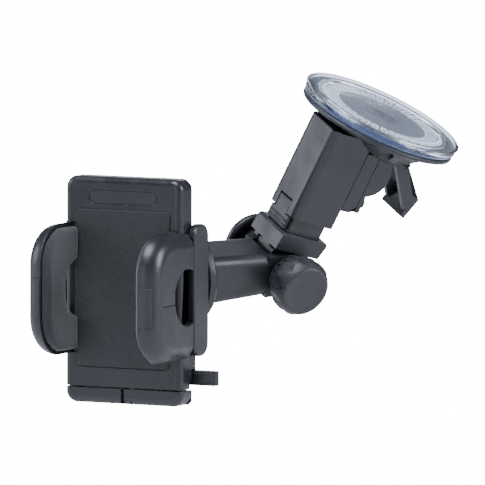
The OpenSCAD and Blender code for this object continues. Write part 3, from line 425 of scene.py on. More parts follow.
@dataclass(frozen=True)
class Finish(ABC):
    """A surface finish that makes one material and names its record slot."""

    title: str
    slot: Slot

    def material(self) -> bpy.types.Material:
        """Builds the material, or finds it when it is already there.

        Returns:
            The node-based material.
        """
        found = bpy.data.materials.get(self.title)
        if found is not None:
            return found
        material = bpy.data.materials.new(self.title)
        material.use_nodes = True
        material.node_tree.nodes.clear()
        wiring = Wiring(material.node_tree)
        leave = wiring.add("ShaderNodeOutputMaterial")
        wiring.join(self.surface(wiring), leave.inputs["Surface"])
        return material

    @abstractmethod
    def surface(self, wiring: Wiring) -> bpy.types.NodeSocket:
        """Wires the surface.

        Args:
            wiring: Helper for the material's tree.

        Returns:
            The shader output.
        """

    def bump(
        self,
        wiring: Wiring,
        shader: bpy.types.Node,
        height: bpy.types.NodeSocket,
        depth: float,
    ) -> None:
        """Feeds a height into the shader's normal.

        Args:
            wiring: Helper for the material's tree.
            shader: The Principled node.
            height: Height from 0 to 1.
            depth: Real depth of a full height, in metres.
        """
        node = wiring.add("ShaderNodeBump")
        node.inputs["Strength"].default_value = 1.0
        node.inputs["Distance"].default_value = depth
        wiring.join(height, node.inputs["Height"])
        wiring.join(node.outputs["Normal"], shader.inputs["Normal"])


@dataclass(frozen=True)
class Moulded(Finish):
    """Injection-moulded plastic with a fine grain, painted glints on the grain's high
    points and burnished edges.
    """

    tone: tuple[float, float, float] = (0.011, 0.0122, 0.0150)
    rubbed: tuple[float, float, float] = (0.045, 0.050, 0.058)
    dusty: tuple[float, float, float] = (0.10, 0.10, 0.10)
    roughness: float = 0.42
    grain_size: float = 0.0004
    grain_depth: float = 0.00002
    # Share and lift of the painted glint, a lighter tone on the grain's high points.
    speckle: float = 0.25
    speckle_lift: float = 1.55
    wear: float = 0.5
    dust: float = 0.10
    smudge_haze: float = 0.10
    polish: float = 0.12

    def surface(self, wiring: Wiring) -> bpy.types.NodeSocket:
        """Mixes the tone with a painted glint on the grain's high points, rubbed edges and
        a breath of dust.

        Args:
            wiring: Helper for the material's tree.

        Returns:
            The shader output.
        """
        shader = wiring.add("ShaderNodeBsdfPrincipled")
        shader.inputs["IOR"].default_value = 1.5
        grain = GRAIN.place(wiring, **{"Grain Size": self.grain_size})
        rub = RUB.place(wiring, Amount=self.wear)
        hand = HANDLING.place(wiring)
        # Painted glint: a lighter copy of the tone on the grain's high points.
        light = tuple(min(1.0, c * self.speckle_lift + 0.001) for c in self.tone)
        share = wiring.math("MULTIPLY", grain.outputs["Speckle"], self.speckle)
        colour = wiring.blend_tone(share, self.tone, light)
        colour = wiring.blend_tone(rub.outputs["Mask"], colour, self.rubbed)
        dust = wiring.math("MULTIPLY", hand.outputs["Dust"], self.dust)
        colour = wiring.blend_tone(dust, colour, self.dusty)
        wiring.join(colour, shader.inputs["Base Color"])
        base = self.roughness - CLEAN_GLOSS
        rough = wiring.math(
            "MULTIPLY_ADD", hand.outputs["Smudge"], self.smudge_haze, base
        )
        for mask in (hand.outputs["Scratch"], rub.outputs["Mask"]):
            rough = wiring.math("MULTIPLY_ADD", mask, -self.polish, rough)
        wiring.join(rough, shader.inputs["Roughness"])
        self.bump(wiring, shader, grain.outputs["Height"], self.grain_depth)
        return shader.outputs["BSDF"]


@dataclass(frozen=True)
class Rubbery(Finish):
    """Pebbled rubber or the skin of closed-cell foam."""

    tone: tuple[float, float, float] = (0.013, 0.0138, 0.0158)
    # light is the tone of the painted glint on the pebbling's high points.
    light: tuple[float, float, float] = (0.034, 0.036, 0.040)
    roughness: float = 0.72
    pebble_size: float = 0.00055
    pebble: float = 0.55
    # Share of the painted glint on the pebbling's high points.
    speckle: float = 0.55
    cloud: float = 0.35
    depth: float = 0.00009
    sheen: float = 0.15
    dusty: tuple[float, float, float] = (0.12, 0.12, 0.115)
    dust: float = 0.16
    smudge_haze: float = 0.08

    def surface(self, wiring: Wiring) -> bpy.types.NodeSocket:
        """Paints a glint, a lighter tone, on the high points of the pebbling, stronger in
        cloudy patches.

        Args:
            wiring: Helper for the material's tree.

        Returns:
            The shader output.
        """
        shader = wiring.add("ShaderNodeBsdfPrincipled")
        shader.inputs["IOR"].default_value = 1.47
        shader.inputs["Sheen Weight"].default_value = self.sheen
        shader.inputs["Sheen Roughness"].default_value = 0.45
        grain = GRAIN.place(
            wiring, **{"Grain Size": self.pebble_size, "Pebble": self.pebble}
        )
        hand = HANDLING.place(wiring, **{"Smudge Size": 0.009})
        # Painted glint on the pebbling's high points, broken into cloudy patches.
        share = wiring.math("MULTIPLY", grain.outputs["Speckle"], self.speckle)
        cloud = wiring.math(
            "MULTIPLY_ADD", hand.outputs["Smudge"], self.cloud, 1.0 - self.cloud
        )
        share = wiring.math("MULTIPLY", share, cloud)
        colour = wiring.blend_tone(share, self.tone, self.light)
        dust = wiring.math("MULTIPLY", hand.outputs["Dust"], self.dust)
        colour = wiring.blend_tone(dust, colour, self.dusty)
        wiring.join(colour, shader.inputs["Base Color"])
        base = self.roughness - CLEAN_GLOSS
        rough = wiring.math(
            "MULTIPLY_ADD", hand.outputs["Smudge"], self.smudge_haze, base
        )
        wiring.join(rough, shader.inputs["Roughness"])
        self.bump(wiring, shader, grain.outputs["Height"], self.depth)
        return shader.outputs["BSDF"]


@dataclass(frozen=True)
class ClearVinyl(Finish):
    """Clear soft vinyl with a faint blue cast that lets lamps through."""

    tone: tuple[float, float, float] = (0.90, 0.93, 0.98)
    band_tone: tuple[float, float, float] = (0.50, 0.63, 0.90)
    smudged: tuple[float, float, float] = (0.92, 0.94, 0.98)
    shadow_tone: tuple[float, float, float] = (0.86, 0.90, 0.96)
    roughness: float = 0.015
    smudge: float = 0.25
    smudge_haze: float = 0.03
    band_haze: float = 0.12
    ripple_size: float = 0.006
    ripple_depth: float = 0.00003

    def surface(self, wiring: Wiring) -> bpy.types.NodeSocket:
        """Joins glass for the eye with a tinted pass for shadow rays.

        Args:
            wiring: Helper for the material's tree.

        Returns:
            The shader output.
        """
        shader = wiring.add("ShaderNodeBsdfPrincipled")
        shader.inputs["Transmission Weight"].default_value = 1.0
        shader.inputs["IOR"].default_value = 1.38
        hand = HANDLING.place(wiring, **{"Smudge Size": 0.02})
        band = wiring.add(
            "ShaderNodeAttribute", attribute_name="thick_band", attribute_type="GEOMETRY"
        )
        colour = wiring.blend_tone(band.outputs["Fac"], self.tone, self.band_tone)
        colour = wiring.blend_tone(
            wiring.math("MULTIPLY", hand.outputs["Smudge"], self.smudge),
            colour,
            self.smudged,
        )
        wiring.join(colour, shader.inputs["Base Color"])
        rough = wiring.math(
            "MULTIPLY_ADD", hand.outputs["Smudge"], self.smudge_haze, self.roughness
        )
        rough = wiring.math(
            "MULTIPLY_ADD", band.outputs["Fac"], self.band_haze, rough
        )
        wiring.join(rough, shader.inputs["Roughness"])
        ripple = GRAIN.place(wiring, **{"Grain Size": self.ripple_size})
        self.bump(wiring, shader, ripple.outputs["Height"], self.ripple_depth)
        through = wiring.add("ShaderNodeBsdfTransparent")
        through.inputs["Color"].default_value = (*self.shadow_tone, 1.0)
        path = wiring.add("ShaderNodeLightPath")
        mixed = wiring.add("ShaderNodeMixShader")
        wiring.join(path.outputs["Is Shadow Ray"], mixed.inputs[0])
        wiring.join(shader.outputs["BSDF"], mixed.inputs[1])
        wiring.join(through.outputs["BSDF"], mixed.inputs[2])
        return mixed.outputs["Shader"]


@dataclass(frozen=True)
class Metal(Finish):
    """Plated or turned metal with fine tool lines."""

    tone: tuple[float, float, float] = (0.56, 0.57, 0.60)
    tarnish: tuple[float, float, float] = (0.34, 0.34, 0.35)
    roughness: float = 0.30
    smudge_haze: float = 0.14
    scratch_haze: float = 0.15
    line_size: float = 0.0002
    line_depth: float = 0.000008

    def surface(self, wiring: Wiring) -> bpy.types.NodeSocket:
        """Varies the metal's colour and gloss with tarnish and tool lines.

        Args:
            wiring: Helper for the material's tree.

        Returns:
            The shader output.
        """
        shader = wiring.add("ShaderNodeBsdfPrincipled")
        shader.inputs["Metallic"].default_value = 1.0
        grain = GRAIN.place(wiring, **{"Grain Size": self.line_size})
        hand = HANDLING.place(wiring, **{"Smudge Size": 0.004, "Scratches": 0.8})
        colour = wiring.blend_tone(hand.outputs["Smudge"], self.tone, self.tarnish)
        wiring.join(colour, shader.inputs["Base Color"])
        rough = wiring.math(
            "MULTIPLY_ADD", hand.outputs["Smudge"], self.smudge_haze, self.roughness
        )
        rough = wiring.math(
            "MULTIPLY_ADD", hand.outputs["Scratch"], self.scratch_haze, rough
        )
        wiring.join(rough, shader.inputs["Roughness"])
        self.bump(wiring, shader, grain.outputs["Height"], self.line_depth)
        return shader.outputs["BSDF"]


SATIN_BLACK = Moulded("satin_black_moulding", Slot.BLACK)
SMOOTH_BLACK = Moulded(
    "smooth_black_moulding",
    Slot.BLACK,
    roughness=0.34,
    grain_depth=0.000008,
    speckle=0.12,
)
SHELL_BLACK = Moulded(
    "jaw_shell_moulding",
    Slot.BLACK,
    tone=(0.013, 0.0142, 0.0172),
    roughness=0.38,
    grain_depth=0.000012,
    speckle=0.15,
)
CHARCOAL = Moulded(
    "charcoal_moulding",
    Slot.CHARCOAL,
    tone=(0.016, 0.0172, 0.0200),
    roughness=0.48,
    grain_depth=0.00003,
)
GREY = Moulded(
    "grey_moulding",
    Slot.GREY,
    tone=(0.115, 0.118, 0.130),
    rubbed=(0.26, 0.265, 0.28),
    dusty=(0.22, 0.225, 0.235),
    roughness=0.40,
)
RIB_GREY = Moulded(
    "pale_rib_moulding",
    Slot.GREY,
    tone=(0.78, 0.79, 0.82),
    rubbed=(0.9, 0.9, 0.92),
    dusty=(0.8, 0.8, 0.8),
    roughness=0.35,
)
GRIP_RUBBER = Rubbery("pebbled_grip_rubber", Slot.PAD)
SEAT_RUBBER = Rubbery("seat_rubber", Slot.PAD, pebble=0.2, depth=0.00004)
FOAM_SKIN = Rubbery(
    "foam_skin",
    Slot.FOAM,
    tone=(0.018, 0.0188, 0.0215),
    light=(0.052, 0.055, 0.061),
    roughness=0.85,
    pebble_size=0.0005,
    pebble=0.4,
    depth=0.00009,
    sheen=0.30,
)
VINYL = ClearVinyl("clear_soft_vinyl", Slot.CLEAR)
STEEL = Metal("zinc_plated_steel", Slot.STEEL)
BLACK_STEEL = Metal(
    "blackened_steel",
    Slot.STEEL,
    tone=(0.030, 0.032, 0.036),
    tarnish=(0.016, 0.017, 0.019),
    roughness=0.46,
)
BRASS = Metal(
    "turned_brass",
    Slot.BRASS,
    tone=(0.60, 0.44, 0.20),
    tarnish=(0.36, 0.25, 0.11),
    roughness=0.28,
)


# ---------------------------------------------------------------- mesh tools


def dress(piece: bpy.types.Object, finish: Finish, body: str) -> bpy.types.Object:
    """Gives a piece its finish and body.

    Args:
        piece: Object to dress.
        finish: Finish of its whole surface.
        body: CAD body that carries it.

    Returns:
        The same object.
    """
    piece.data.materials.clear()
    piece.data.materials.append(finish.material())
    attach(piece, body)
    LOG.info("%s rides on %s", piece.name, body)
    return piece


def body_of(node: str) -> str:
    """The CAD body that a node belongs to."""
    return str(frame["nodes"][node]["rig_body"])


def place_mesh(name: str, bm: bmesh.types.BMesh) -> bpy.types.Object:
    """Turns a bmesh into an object of the scene.

    Args:
        name: Name of the piece.
        bm: Mesh to hand over; it is freed.

    Returns:
        The new object, smooth shaded up to its creases.
    """
    bmesh.ops.recalc_face_normals(bm, faces=bm.faces)
    mesh = bpy.data.meshes.new(name)
    bm.to_mesh(mesh)
    bm.free()
    piece = bpy.data.objects.new(name, mesh)
    bpy.context.scene.collection.objects.link(piece)
    return smooth(piece)


def smooth(piece: bpy.types.Object, crease: float = 38.0) -> bpy.types.Object:
    """Shades a piece smooth, keeps its creases and weighs normals by face size.

    Args:
        piece: Object to shade.
        crease: Angle in degrees above which an edge stays sharp.

    Returns:
        The same object.
    """
    mesh = piece.data
    mesh.shade_smooth()
    mesh.set_sharp_from_angle(angle=math.radians(crease))
    weighted = piece.modifiers.new("weighted_normals", "WEIGHTED_NORMAL")
    weighted.keep_sharp = True
    return piece


@dataclass
class EdgeRounder:
    """Rounds a moulding's outer edges, each as far as its neighbours leave room.

    Attributes:
        width: Widest round, in metres.
        crease: Angle in degrees above which an edge is rounded.
        segments: Faces across a round.
        shared: Share of a face's breadth that one of two rounds may take.
        alone: Share that a round may take when no other meets it.
        taper: How much wider a round may be than the next one along.
        least: Share of the width under which an edge stays sharp.
    """

    width: float
    crease: float = 30.0
    segments: int = 2
    shared: float = 0.45
    alone: float = 0.85
    taper: float = 1.7
    least: float = 0.04

    def room(
        self, edge: bmesh.types.BMEdge, chosen: set[bmesh.types.BMEdge]
    ) -> float:
        """Finds how wide the round of one edge may be.

        Args:
            edge: Edge to round.
            chosen: Every edge that is rounded.

        Returns:
            The widest round, in metres.
        """
        most = self.width
        length = edge.calc_length()
        for loop in edge.link_loops:
            turn = 0.0
            for corner, neighbour in (
                (loop, loop.link_loop_prev.edge),
                (loop.link_loop_next, loop.link_loop_next.edge),
            ):
                angle = max(corner.calc_angle(), 1e-3)
                if neighbour in chosen:
                    turn += 1 / math.tan(angle / 2)
                    continue
                turn += max(0.0, 1 / math.tan(angle))
                far = neighbour.other_vert(corner.vert)
                met = any(e in chosen for e in far.link_edges)
                share = self.shared if met else self.alone
                most = min(
                    most, share * neighbour.calc_length() * max(math.sin(angle), 0.05)
                )
            if turn > 0:
                most = min(most, self.alone * length / turn)
            most = min(most, self.shared * self.breadth(edge, loop.face, chosen))
        return most

    def breadth(
        self,
        edge: bmesh.types.BMEdge,
        face: bmesh.types.BMFace,
        chosen: set[bmesh.types.BMEdge],
    ) -> float:
        """Measures how far the other rounded edges of a face are from an edge.

        Args:
            edge: Edge to measure from.
            face: Face that it bounds.
            chosen: Every edge that is rounded.

        Returns:
            The least distance, or a large one when nothing is near.
        """
        middle = (edge.verts[0].co + edge.verts[1].co) / 2
        along = (edge.verts[1].co - edge.verts[0].co).normalized()
        least = 1.0
        for other in face.edges:
            if other is edge or other not in chosen:
                continue
            start, end = other.verts[0].co, other.verts[1].co
            way = end - start
            if abs(way.normalized().dot(along)) < 0.6:
                continue
            share = (middle - start).dot(way) / max(way.length_squared, 1e-18)
            near = start + way * min(1.0, max(0.0, share))
            across = (middle - near) - along * (middle - near).dot(along)
            if across.length > 2e-5:
                least = min(least, max(across.length, (middle - near).length * 0.7))
        return least

    def apply(self, piece: bpy.types.Object) -> None:
        """Rounds the edges and marks the rounds as edge_round faces.

        Args:
            piece: Object whose mesh is changed.
        """
        bm = bmesh.new()
        bm.from_mesh(piece.data)
        bmesh.ops.remove_doubles(bm, verts=bm.verts[:], dist=1.5e-6)
        bmesh.ops.dissolve_limit(
            bm,
            angle_limit=math.radians(0.6),
            verts=bm.verts[:],
            edges=bm.edges[:],
            use_dissolve_boundaries=False,
        )
        weight = bm.edges.layers.float.new("bevel_weight_edge")
        limit = math.radians(self.crease)
        sharp = [
            e
            for e in bm.edges
            if len(e.link_faces) == 2 and e.calc_face_angle_signed(0.0) > limit
        ]
        chosen = set(sharp)
        room = {e: self.room(e, chosen) for e in sharp}
        for _ in range(3):
            for edge in sharp:
                near = [
                    room[e] for v in edge.verts for e in v.link_edges if e in chosen
                ]
                room[edge] = min(room[edge], self.taper * min(near))
        for edge in sharp:
            if room[edge] > self.least * self.width:
                edge[weight] = room[edge] / self.width
        for face in bm.faces:
            face.material_index = 0
        bm.to_mesh(piece.data)
        bm.free()
        bevel = piece.modifiers.new("edge_rounds", "BEVEL")
        bevel.limit_method = "WEIGHT"
        bevel.width = self.width
        bevel.segments = self.segments
        bevel.use_clamp_overlap = False
        bevel.material = 1
        piece.data.materials.append(None)
        piece.data.materials.append(None)
        applied(piece)
        mesh = piece.data
        mark = mesh.attributes.new("edge_round", "FLOAT", "FACE")
        values = [float(face.material_index == 1) for face in mesh.polygons]
        mark.data.foreach_set("value", values)
        mesh.polygons.foreach_set("material_index", [0] * len(mesh.polygons))


def softened(
    node: str,
    finish: Finish,
    width: float = 0.35 * MM,
    crease: float = 30.0,
    reshape: Callable[[bpy.types.Mesh], None] | None = None,
) -> bpy.types.Object:
    """Makes the shown moulding of a CAD node, with its outer edges rounded.

    Args:
        node: CAD node that the piece stands for.
        finish: Finish of the moulding.
        width: Width of the edge rounds, in metres.
        crease: Angle in degrees above which an edge is rounded.
        reshape: Change of form made before the edges are rounded.

    Returns:
        The dressed piece, which replaces the node.
    """
    mesh = frame["nodes"][node].data.copy()
    mesh.materials.clear()
    piece = bpy.data.objects.new(node + "_moulding", mesh)
    bpy.context.scene.collection.objects.link(piece)
    if reshape is not None:
        reshape(mesh)
    EdgeRounder(width, crease).apply(piece)
    smooth(piece)
    dress(piece, finish, body_of(node))
    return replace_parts(piece, node)


def refinish(finish: Finish, *nodes: str) -> None:
    """Gives CAD nodes whose shape is right a node-based finish.

    Args:
        finish: Finish to assign.
        nodes: Names of the nodes.
    """
    for node in nodes:
        piece = frame["nodes"][node]
        if not piece.material_slots:
            piece.data.materials.append(None)
        for index in range(len(piece.material_slots)):
            piece.material_slots[index].material = finish.material()
        smooth(piece, 32.0)
        LOG.info("%s keeps its shape", node)


def revolve(
    name: str, outline: Sequence[tuple[float, float]], place: Matrix, steps: int = 144
) -> bpy.types.Object:
    """Revolves a closed outline about the local Z axis.

    Args:
        name: Name of the piece.
        outline: Points as radius and height, in metres; radius 0 lies on the axis.
        place: Matrix from the local frame to the row frame.
        steps: Number of steps round the axis.

    Returns:
        The revolved object.
    """
    bm = bmesh.new()
    rings: list[list[bmesh.types.BMVert]] = []
    for radius, height in outline:
        count = 1 if radius < 1e-7 else steps
        rings.append(
            [
                bm.verts.new(
                    place
                    @ Vector(
                        (
                            radius * math.cos(2 * math.pi * k / steps),
                            radius * math.sin(2 * math.pi * k / steps),
                            height,
                        )
                    )
                )
                for k in range(count)
            ]
        )
    for index, ring in enumerate(rings):
        other = rings[(index + 1) % len(rings)]
        if len(ring) == 1 and len(other) == 1:
            continue
        for k in range(steps):
            a, b = ring[k % len(ring)], ring[(k + 1) % len(ring)]
            c, d = other[(k + 1) % len(other)], other[k % len(other)]
            corners = list(dict.fromkeys((a, b, c, d)))
            bm.faces.new(corners)
    return place_mesh(name, bm)


def open_frame(
    bm: bmesh.types.BMesh,
    outline: Sequence[Vector],
    hole: Sequence[Vector],
    low: float,
    high: float,
) -> None:
    """Adds a straight frame along Z: an outline with a hole of as many corners.

    Args:
        bm: Mesh that gets the frame.
        outline: Corners in the XY plane, anticlockwise.
        hole: Corners of the hole, one to each outer corner.
        low: Height of the lower face.
        high: Height of the upper face.
    """
    count = len(outline)
    rows = [
        [[bm.verts.new((p.x, p.y, z)) for p in loop] for z in (low, high)]
        for loop in (outline, hole)
    ]
    for k in range(count):
        j = (k + 1) % count
        for flip, (bottom, top) in enumerate(rows):
            side = (bottom[k], bottom[j], top[j], top[k])
            bm.faces.new(side[::-1] if flip else side)
    for k in range(count):
        j = (k + 1) % count
        for level, flip in ((1, False), (0, True)):
            cap = (
                rows[0][level][k],
                rows[0][level][j],
                rows[1][level][j],
                rows[1][level][k],
            )
            bm.faces.new(cap[::-1] if flip else cap)


def rounded_outline(
    width: float, height: float, radius: float, steps: int = 10
) -> list[Vector]:
    """Corners of a round-cornered rectangle about the origin.

    Args:
        width: Size along X.
        height: Size along Y.
        radius: Corner radius.
        steps: Steps in each corner.

    Returns:
        The corners, anticlockwise.
    """
    points: list[Vector] = []
    for index, (sx, sy) in enumerate(((1, 1), (-1, 1), (-1, -1), (1, -1))):
        middle = Vector((sx * (width / 2 - radius), sy * (height / 2 - radius)))
        for k in range(steps + 1):
            angle = math.pi / 2 * (index + k / steps)
            points.append(
                middle + radius * Vector((math.cos(angle), math.sin(angle)))
            )
    return points


def rimmed_plate(
    name: str,
    width: float,
    height: float,
    radius: float,
    layers: Sequence[tuple[float, float]],
    place: Matrix,
    rings: int = 14,
) -> bpy.types.Object:
    """Makes a plate with a level face and a rim that follows a section.

    Args:
        name: Name of the piece.
        width: Size along the local X axis.
        height: Size along the local Y axis.
        radius: Corner radius.
        layers: Section of the rim from the back up: inset and height of each ring.
        place: Matrix from the local frame to the row frame.
        rings: Rings between the rim and the middle.

    Returns:
        The plate.
    """
    bm = bmesh.new()
    rows: list[list[bmesh.types.BMVert]] = []
    for inset, level in layers:
        loop = rounded_outline(
            width - 2 * inset, height - 2 * inset, max(radius - inset, 0.2 * MM)
        )
        rows.append([bm.verts.new((p.x, p.y, level)) for p in loop])
    top_inset, top = layers[-1]
    rim = rounded_outline(
        width - 2 * top_inset,
        height - 2 * top_inset,
        max(radius - top_inset, 0.2 * MM),
    )
    for ring in range(1, rings):
        share = 1 - ring / rings
        rows.append([bm.verts.new((p.x * share, p.y * share, top)) for p in rim])
    for lower, upper in zip(rows, rows[1:]):
        for k in range(len(lower)):
            j = (k + 1) % len(lower)
            bm.faces.new((lower[k], lower[j], upper[j], upper[k]))
    bm.faces.new(rows[-1])
    bm.faces.new(rows[0][::-1])
    bm.transform(place)
    return place_mesh(name, bm)


def applied(piece: bpy.types.Object) -> None:
    """Applies every modifier of a piece to its mesh.

    Args:
        piece: Object whose modifiers end up in its mesh.
    """
    view = bpy.context.evaluated_depsgraph_get()
    mesh = bpy.data.meshes.new_from_object(
        piece.evaluated_get(view), preserve_all_data_layers=True, depsgraph=view
    )
    piece.modifiers.clear()
    piece.data = mesh


def voxel_skin(piece: bpy.types.Object, voxel: float) -> None:
    """Remeshes a piece into an even skin.

    Args:
        piece: Object to remesh.
        voxel: Size of the voxels, in metres.
    """
    remesh = piece.modifiers.new("skin", "REMESH")
    remesh.mode = "VOXEL"
    remesh.voxel_size = voxel
    remesh.adaptivity = 0.0
    applied(piece)


def inflate(
    piece: bpy.types.Object, pressure: float, cap: float, scale: float = 20.0
) -> None:
    """Swells a soft piece with a cloth simulation and caps how far a point moves.

    Args:
        piece: Object with an even mesh at the origin.
        pressure: Pressure inside the cloth.
        cap: Longest move of a point, in metres.
        scale: The simulation runs on a copy this much larger.
    """
    rest = [v.co.copy() for v in piece.data.vertices]
    piece.data.transform(Matrix.Scale(scale, 4))
    cloth = piece.modifiers.new("cloth", "CLOTH")
    settings = cloth.settings
    settings.quality = 4
    settings.mass = 0.3
    settings.tension_stiffness = 25.0
    settings.compression_stiffness = 25.0
    settings.shear_stiffness = 10.0
    settings.bending_stiffness = 6.0
    settings.use_pressure = True
    settings.uniform_pressure_force = pressure
    settings.effector_weights.gravity = 0.0
    cloth.collision_settings.use_collision = False
    cloth.point_cache.frame_start = 1
    cloth.point_cache.frame_end = 20
    scene = bpy.context.scene
    for step in range(1, 21):
        scene.frame_set(step)
    applied(piece)
    scene.frame_set(1)
    for vertex, start in zip(piece.data.vertices, rest):
        move = vertex.co / scale - start
        if move.length > cap:
            move = move.normalized() * cap
        vertex.co = start + move


def shrink(piece: bpy.types.Object, depth: float) -> None:
    """Moves every point of a piece inwards along its normal by a depth in metres."""
    normals = [v.normal.copy() for v in piece.data.vertices]
    for vertex, normal in zip(piece.data.vertices, normals):
        vertex.co -= normal * depth


def relax(piece: bpy.types.Object, rounds: int, factor: float = 0.5) -> None:
    """Evens out a piece's surface.

    Args:
        piece: Object to smooth.
        rounds: How many times to smooth.
        factor: Strength of each round.
    """
    modifier = piece.modifiers.new("relax", "SMOOTH")
    modifier.factor = factor
    modifier.iterations = rounds
    applied(piece)


# ---------------------------------------------------------------- sub-assemblies


class SubAssembly(ABC):
    """A group of pieces that is modelled and dressed together."""

    @abstractmethod
    def build(self) -> None:
        """Makes and dresses every piece of the sub-assembly."""


def joint_of(name: str) -> dict:
    """The record's entry of a joint."""
    return next(j for j in frame["joints"] if j["name"] == name)


def local_frame(origin: Sequence[float], x: Vector, z: Vector) -> Matrix:
    """Builds a right-handed frame.

    Args:
        origin: Its origin in the row frame.
        x: Direction of its X axis.
        z: Direction of its Z axis.

    Returns:
        The matrix from the local frame to the row frame.
    """
    z = z.normalized()
    x = (x - z * x.dot(z)).normalized()
    turn = Matrix((x, z.cross(x), z)).transposed().to_4x4()
    return Matrix.Translation(Vector(origin)) @ turn


@dataclass
class SuctionBase(SubAssembly):
    """Clear cup, ribbed disc, black base and its lever."""

    cup_radius: float = 40.0 * MM
    cup_thickness: float = 2.6 * MM
    band_radius: float = 39.3 * MM
    rim_radius: float = 36.6 * MM
    shown_rim: float = 38.9 * MM
    rim_top: float = -4.2 * MM
    disc_radius: float = 33.6 * MM
    cells: int = 36
    cell_share: float = 0.72
    cell_insets: tuple[float, float] = (11 * MM, 2 * MM)
    frame_insets: tuple[float, float] = (0.06 * MM, 0.72 * MM)
    frame_depths: tuple[float, float] = (0.86 * MM, 0.12 * MM)
    rim_start: float = 1.8 * MM
    place: Matrix = field(default_factory=Matrix)

    def build(self) -> None:
        """Makes the cup's own frame, then every piece in it."""
        self.place = local_frame(
            (0.0, 0.0, 0.0),
            Vector(joint_of("base_pivot")["axis"]),
            -Vector(joint_of("stud_slide")["axis"]),
        )
        self.cup()
        self.cell_rims()
        softened("backing_disc", GREY, 0.25 * MM)
        softened("base_housing", SATIN_BLACK, 0.5 * MM, reshape=self.spread_rim)
        softened("suction_lever", SATIN_BLACK, 0.35 * MM)
        refinish(STEEL, "suction_stud")
        refinish(BLACK_STEEL, "base_screws", "suction_lever_pin")

    def spread_rim(self, mesh: bpy.types.Mesh) -> None:
        """Brings the black rim out until it nearly meets the cup's edge.

        Args:
            mesh: Mesh of the black base.
        """
        back = self.place.inverted()
        start = self.rim_radius - self.rim_start
        for vertex in mesh.vertices:
            spot = back @ vertex.co
            radius = math.hypot(spot.x, spot.y)
            share = (radius - start) / (self.rim_radius - start)
            if share <= 0:
                continue
            wide = radius + share * (self.shown_rim - self.rim_radius)
            spot.x *= wide / radius
            spot.y *= wide / radius
            vertex.co = self.place @ spot

    def cup(self) -> None:
        """Makes the clear cup: a thin face, a lip, and a thick band on the rim."""
        r, t, band = self.cup_radius, self.cup_thickness, self.band_radius
        seat = self.rim_top + 0.08 * MM
        outline = [
            (0.0, -0.5 * MM),
            (r - 12 * MM, -0.5 * MM),
            (r - 9.6 * MM, -0.35 * MM),
            (r - 9.0 * MM, -0.02 * MM),
            (r - 1.0 * MM, 0.0),
            (r - 0.25 * MM, -0.1 * MM),
            (r, -0.4 * MM),
            (r - 0.15 * MM, -0.7 * MM),
            (r - 0.7 * MM, -0.95 * MM),
            (band - 0.75 * MM, -1.15 * MM),
            (band - 0.6 * MM, -1.4 * MM),
            (band - 0.1 * MM, -1.9 * MM),
            (band, -2.5 * MM),
            (band, -3.2 * MM),
            (band - 0.25 * MM, -3.8 * MM),
            (band - 0.8 * MM, seat),
            (self.disc_radius + 0.3 * MM, seat),
            (self.disc_radius + 0.2 * MM, -t - 0.05 * MM),
            (self.disc_radius - 0.6 * MM, -t),
            (0.0, -t),
        ]
        piece = revolve("clear_cup", outline, self.place)
        back = self.place.inverted()
        mark = piece.data.attributes.new("thick_band", "FLOAT", "FACE")
        spots = [back @ face.center for face in piece.data.polygons]
        mark.data.foreach_set(
            "value",
            [
                float(math.hypot(p.x, p.y) > self.disc_radius and p.z < -1.0 * MM)
                for p in spots
            ],
        )
        dress(piece, VINYL, body_of("suction_cup"))
        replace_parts(piece, "suction_cup")

    def cell_rims(self) -> None:
        """Stands a pale frame in each of the disc's cells."""
        bm = bmesh.new()
        half = math.radians(360 / self.cells * self.cell_share / 2)
        floor, top = (-self.cup_thickness - depth for depth in self.frame_depths)
        bounds = tuple(self.disc_radius - inset for inset in self.cell_insets)
        for index in range(self.cells):
            turn = Matrix.Rotation(2 * math.pi * index / self.cells, 3, "Z")
            loops = []
            for inset in self.frame_insets:
                inner, outer = bounds[0] + inset, bounds[1] - inset
                corners = []
                for radius, sign in (
                    (inner, -1),
                    (outer, -1),
                    (outer, 1),
                    (inner, 1),
                ):
                    across = radius * math.tan(half) - inset
                    corners.append(turn @ Vector((radius, sign * across, 0.0)))
                loops.append(corners)
            open_frame(bm, *loops, floor, top)
        bm.transform(self.place)
        piece = place_mesh("disc_cell_rims", bm)
        dress(piece, RIB_GREY, body_of("backing_disc"))


